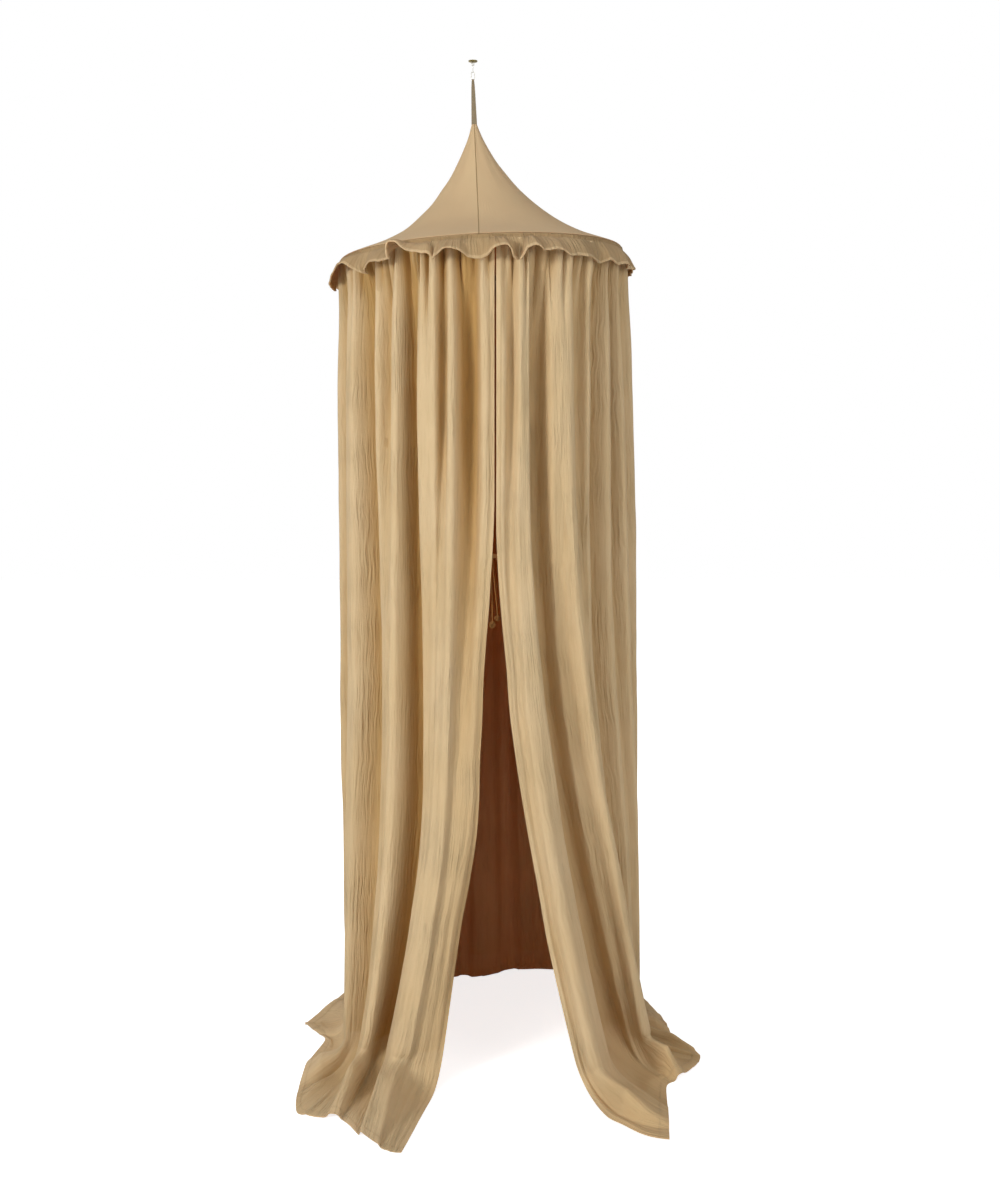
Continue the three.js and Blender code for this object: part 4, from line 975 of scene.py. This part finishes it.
def make_pompom(name, node, seed):
    low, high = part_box(node)
    centre, radius = (low + high) / 2, (high.x - low.x) / 2
    rng = np.random.default_rng(seed)
    count = POMPOM_STRANDS
    turn = np.arange(count) * math.pi * (3 - math.sqrt(5))
    height = 1 - 2 * (np.arange(count) + 0.5) / count
    flat = np.sqrt(1 - height ** 2)
    direction = np.stack([flat * np.cos(turn), flat * np.sin(turn), height], 1)
    direction = direction + rng.normal(0, 0.08, (count, 3))
    direction /= np.linalg.norm(direction, axis=1, keepdims=True)
    side = np.cross(direction, rng.normal(0, 1, (count, 3)))
    side /= np.linalg.norm(side, axis=1, keepdims=True)
    other = np.cross(direction, side)
    tip = rng.uniform(0.9, 1.0, count)[:, None] * radius
    middle = np.array(centre)
    thick = radius * STRAND_SHARE
    points, faces = [], []
    for k in range(count):
        base = len(points)
        for reach, width in ((0.3, 0.7), (0.75, 1.0), (1.0, 0.8)):
            for corner in range(3):
                a = corner * 2 * math.pi / 3
                points.append(middle + direction[k] * tip[k] * reach
                              + thick * width * (side[k] * math.cos(a) + other[k] * math.sin(a)))
        for ring in (0, 3):
            for corner in range(3):
                first = base + ring + corner
                second = base + ring + (corner + 1) % 3
                faces.append((first, second, second + 3, first + 3))
        faces.append((base + 2, base + 1, base))
        faces.append((base + 6, base + 7, base + 8))
    mesh = bpy.data.meshes.new(name)
    mesh.from_pydata([tuple(p) for p in points], [], faces)
    mesh.update()
    piece = link(mesh, name, YARN)
    with_flap(piece)
    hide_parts(node)
    return piece


pompom_large = make_pompom("wool_ball_large", "pompom_large", 3)
pompom_small = make_pompom("wool_ball_small", "pompom_small", 4)
for name, node, route, ball in (("cord_long", "tie_cord_long", LONG_CORD, pompom_large),
                                ("cord_short", "tie_cord_short", SHORT_CORD, pompom_small)):
    piece, line, length = make_cord(name, node, route)


# The knot: yarn wound round twice, and a loop over it
def make_knot():
    turns = np.linspace(0, 2 * np.pi * 2.25, 120)
    wrap = np.stack([KNOT.x + 0.0028 * np.cos(turns), KNOT.y + 0.0027 * np.sin(turns),
                     KNOT.z + 0.0042 - 0.0084 * turns / turns[-1] + 0.0008 * np.sin(turns / 2)], 1)
    over = np.linspace(0, 2 * np.pi, 60, endpoint=False)
    loop = np.stack([KNOT.x + 0.0022 * np.cos(over) * np.sin(over) * 1.2 + 0.0006,
                     KNOT.y + 0.0026 * np.sin(over), KNOT.z + 0.0052 * np.cos(over)], 1)
    pieces = [as_mesh(strand_curve("knot_wrap", wrap, 0.0012)),
              as_mesh(strand_curve("knot_over", loop, 0.0011, cyclic=True))]
    for piece in pieces:
        piece.data.shade_smooth()
        with_flap(piece)
    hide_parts("tie_knot")


make_knot()


# A short strip of cloth that the cord goes through
def make_tab(name, node):
    low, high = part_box(node)
    x = np.linspace(low.x, high.x, 14)[None, :]
    z = np.linspace(high.z, low.z, 9)[:, None]
    y = (low.y + high.y) / 2 + 0.0002 * np.sin(x * 900) * np.ones_like(z)
    grid = np.stack(np.broadcast_arrays(x, y, z), -1)
    across, down = runs(grid)
    piece = link(cloth_mesh(name, grid, CLOTH, {"cloth": np.stack([across, -down], -1)}), name,
                 TAB_SHADED_MUSLIN)
    with_flap(piece)
    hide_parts(node)


make_tab("tab_left", "tie_tab_left")
make_tab("tab_right", "tie_tab_right")

# Rigid solids keep their shape and get their finish
for node, material in (("ceiling_plate", BRASS), ("screw_eye", STEEL), ("chain_link_upper", STEEL),
                       ("chain_link_lower", STEEL), ("hoop_arc_left", CANE), ("hoop_arc_right", CANE),
                       ("hoop_ferrule_front", STEEL), ("hoop_ferrule_back", STEEL)):
    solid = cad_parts[node]
    solid.data.materials.clear()
    solid.data.materials.append(material)
    solid.data.shade_smooth()
    solid.data.set_sharp_from_angle(angle=math.radians(40))


# Floor, light and background. Lights: where each stands, how wide it is and its power in watts.
WHITE = (1, 1, 1, 1)
FLOOR_REACH = 14
FLOOR_GLOW = 0.8
WORLD_LIGHT = 0.27
LIGHT_TARGET = Vector((0.02, 0, -1.1))
LIGHTS = {
    "key": ((-2.9, -3.6, -0.1), 1.1, 112),
    "fill": ((3.1, -3.5, -0.1), 2.6, 66),
    "top": ((-1.4, -2.8, 2.8), 2.0, 36),
    "back": ((-1.2, 4.2, -0.2), 2.6, 45),
}


def make_floor():
    mesh = bpy.data.meshes.new("floor")
    corners = [(x * FLOOR_REACH, y * FLOOR_REACH, FLOOR) for x, y in ((-1, -1), (1, -1), (1, 1), (-1, 1))]
    mesh.from_pydata(corners, [], [(0, 1, 2, 3)])
    n = Nodes(bpy.data.materials.new("floor"))
    shader = n.add("ShaderNodeBsdfPrincipled", {
        "Base Color": (0.8, 0.79, 0.78, 1), "Roughness": 0.9, "Specular IOR Level": 0.1}).outputs[0]
    glow = n.add("ShaderNodeEmission", {"Color": WHITE, "Strength": FLOOR_GLOW}).outputs[0]
    path = n.add("ShaderNodeLightPath").outputs
    seen = n.math("MAXIMUM", path["Is Camera Ray"], path["Is Glossy Ray"])
    added = n.add("ShaderNodeAddShader", {0: shader, 1: glow}).outputs[0]
    mixed = n.add("ShaderNodeMixShader", {0: seen, 1: shader, 2: added}).outputs[0]
    floor = link(mesh, "floor", n.finish(mixed))


def make_world():
    world = bpy.data.worlds.new("world")
    bpy.context.scene.world = world
    n = Nodes(world, "ShaderNodeOutputWorld")
    path = n.add("ShaderNodeLightPath").outputs
    seen = n.math("MAXIMUM", path["Is Camera Ray"], path["Is Glossy Ray"])
    seen = n.math("MAXIMUM", seen, path["Is Transmission Ray"])
    dim = n.add("ShaderNodeBackground", {"Color": WHITE, "Strength": WORLD_LIGHT}).outputs[0]
    white = n.add("ShaderNodeBackground", {"Color": WHITE, "Strength": 1.0}).outputs[0]
    n.finish(n.add("ShaderNodeMixShader", {0: seen, 1: dim, 2: white}).outputs[0])


def make_lights():
    for name, (place, size, power) in LIGHTS.items():
        light = bpy.data.lights.new(name, "AREA")
        light.shape = "DISK"
        light.size = size
        light.energy = power
        lamp = bpy.data.objects.new(name, light)
        lamp.location = place
        lamp.rotation_euler = (LIGHT_TARGET - Vector(place)).to_track_quat("-Z", "Y").to_euler()
        bpy.context.scene.collection.objects.link(lamp)


make_floor()
make_world()
make_lights()
bpy.context.scene.view_settings.view_transform = "Standard"
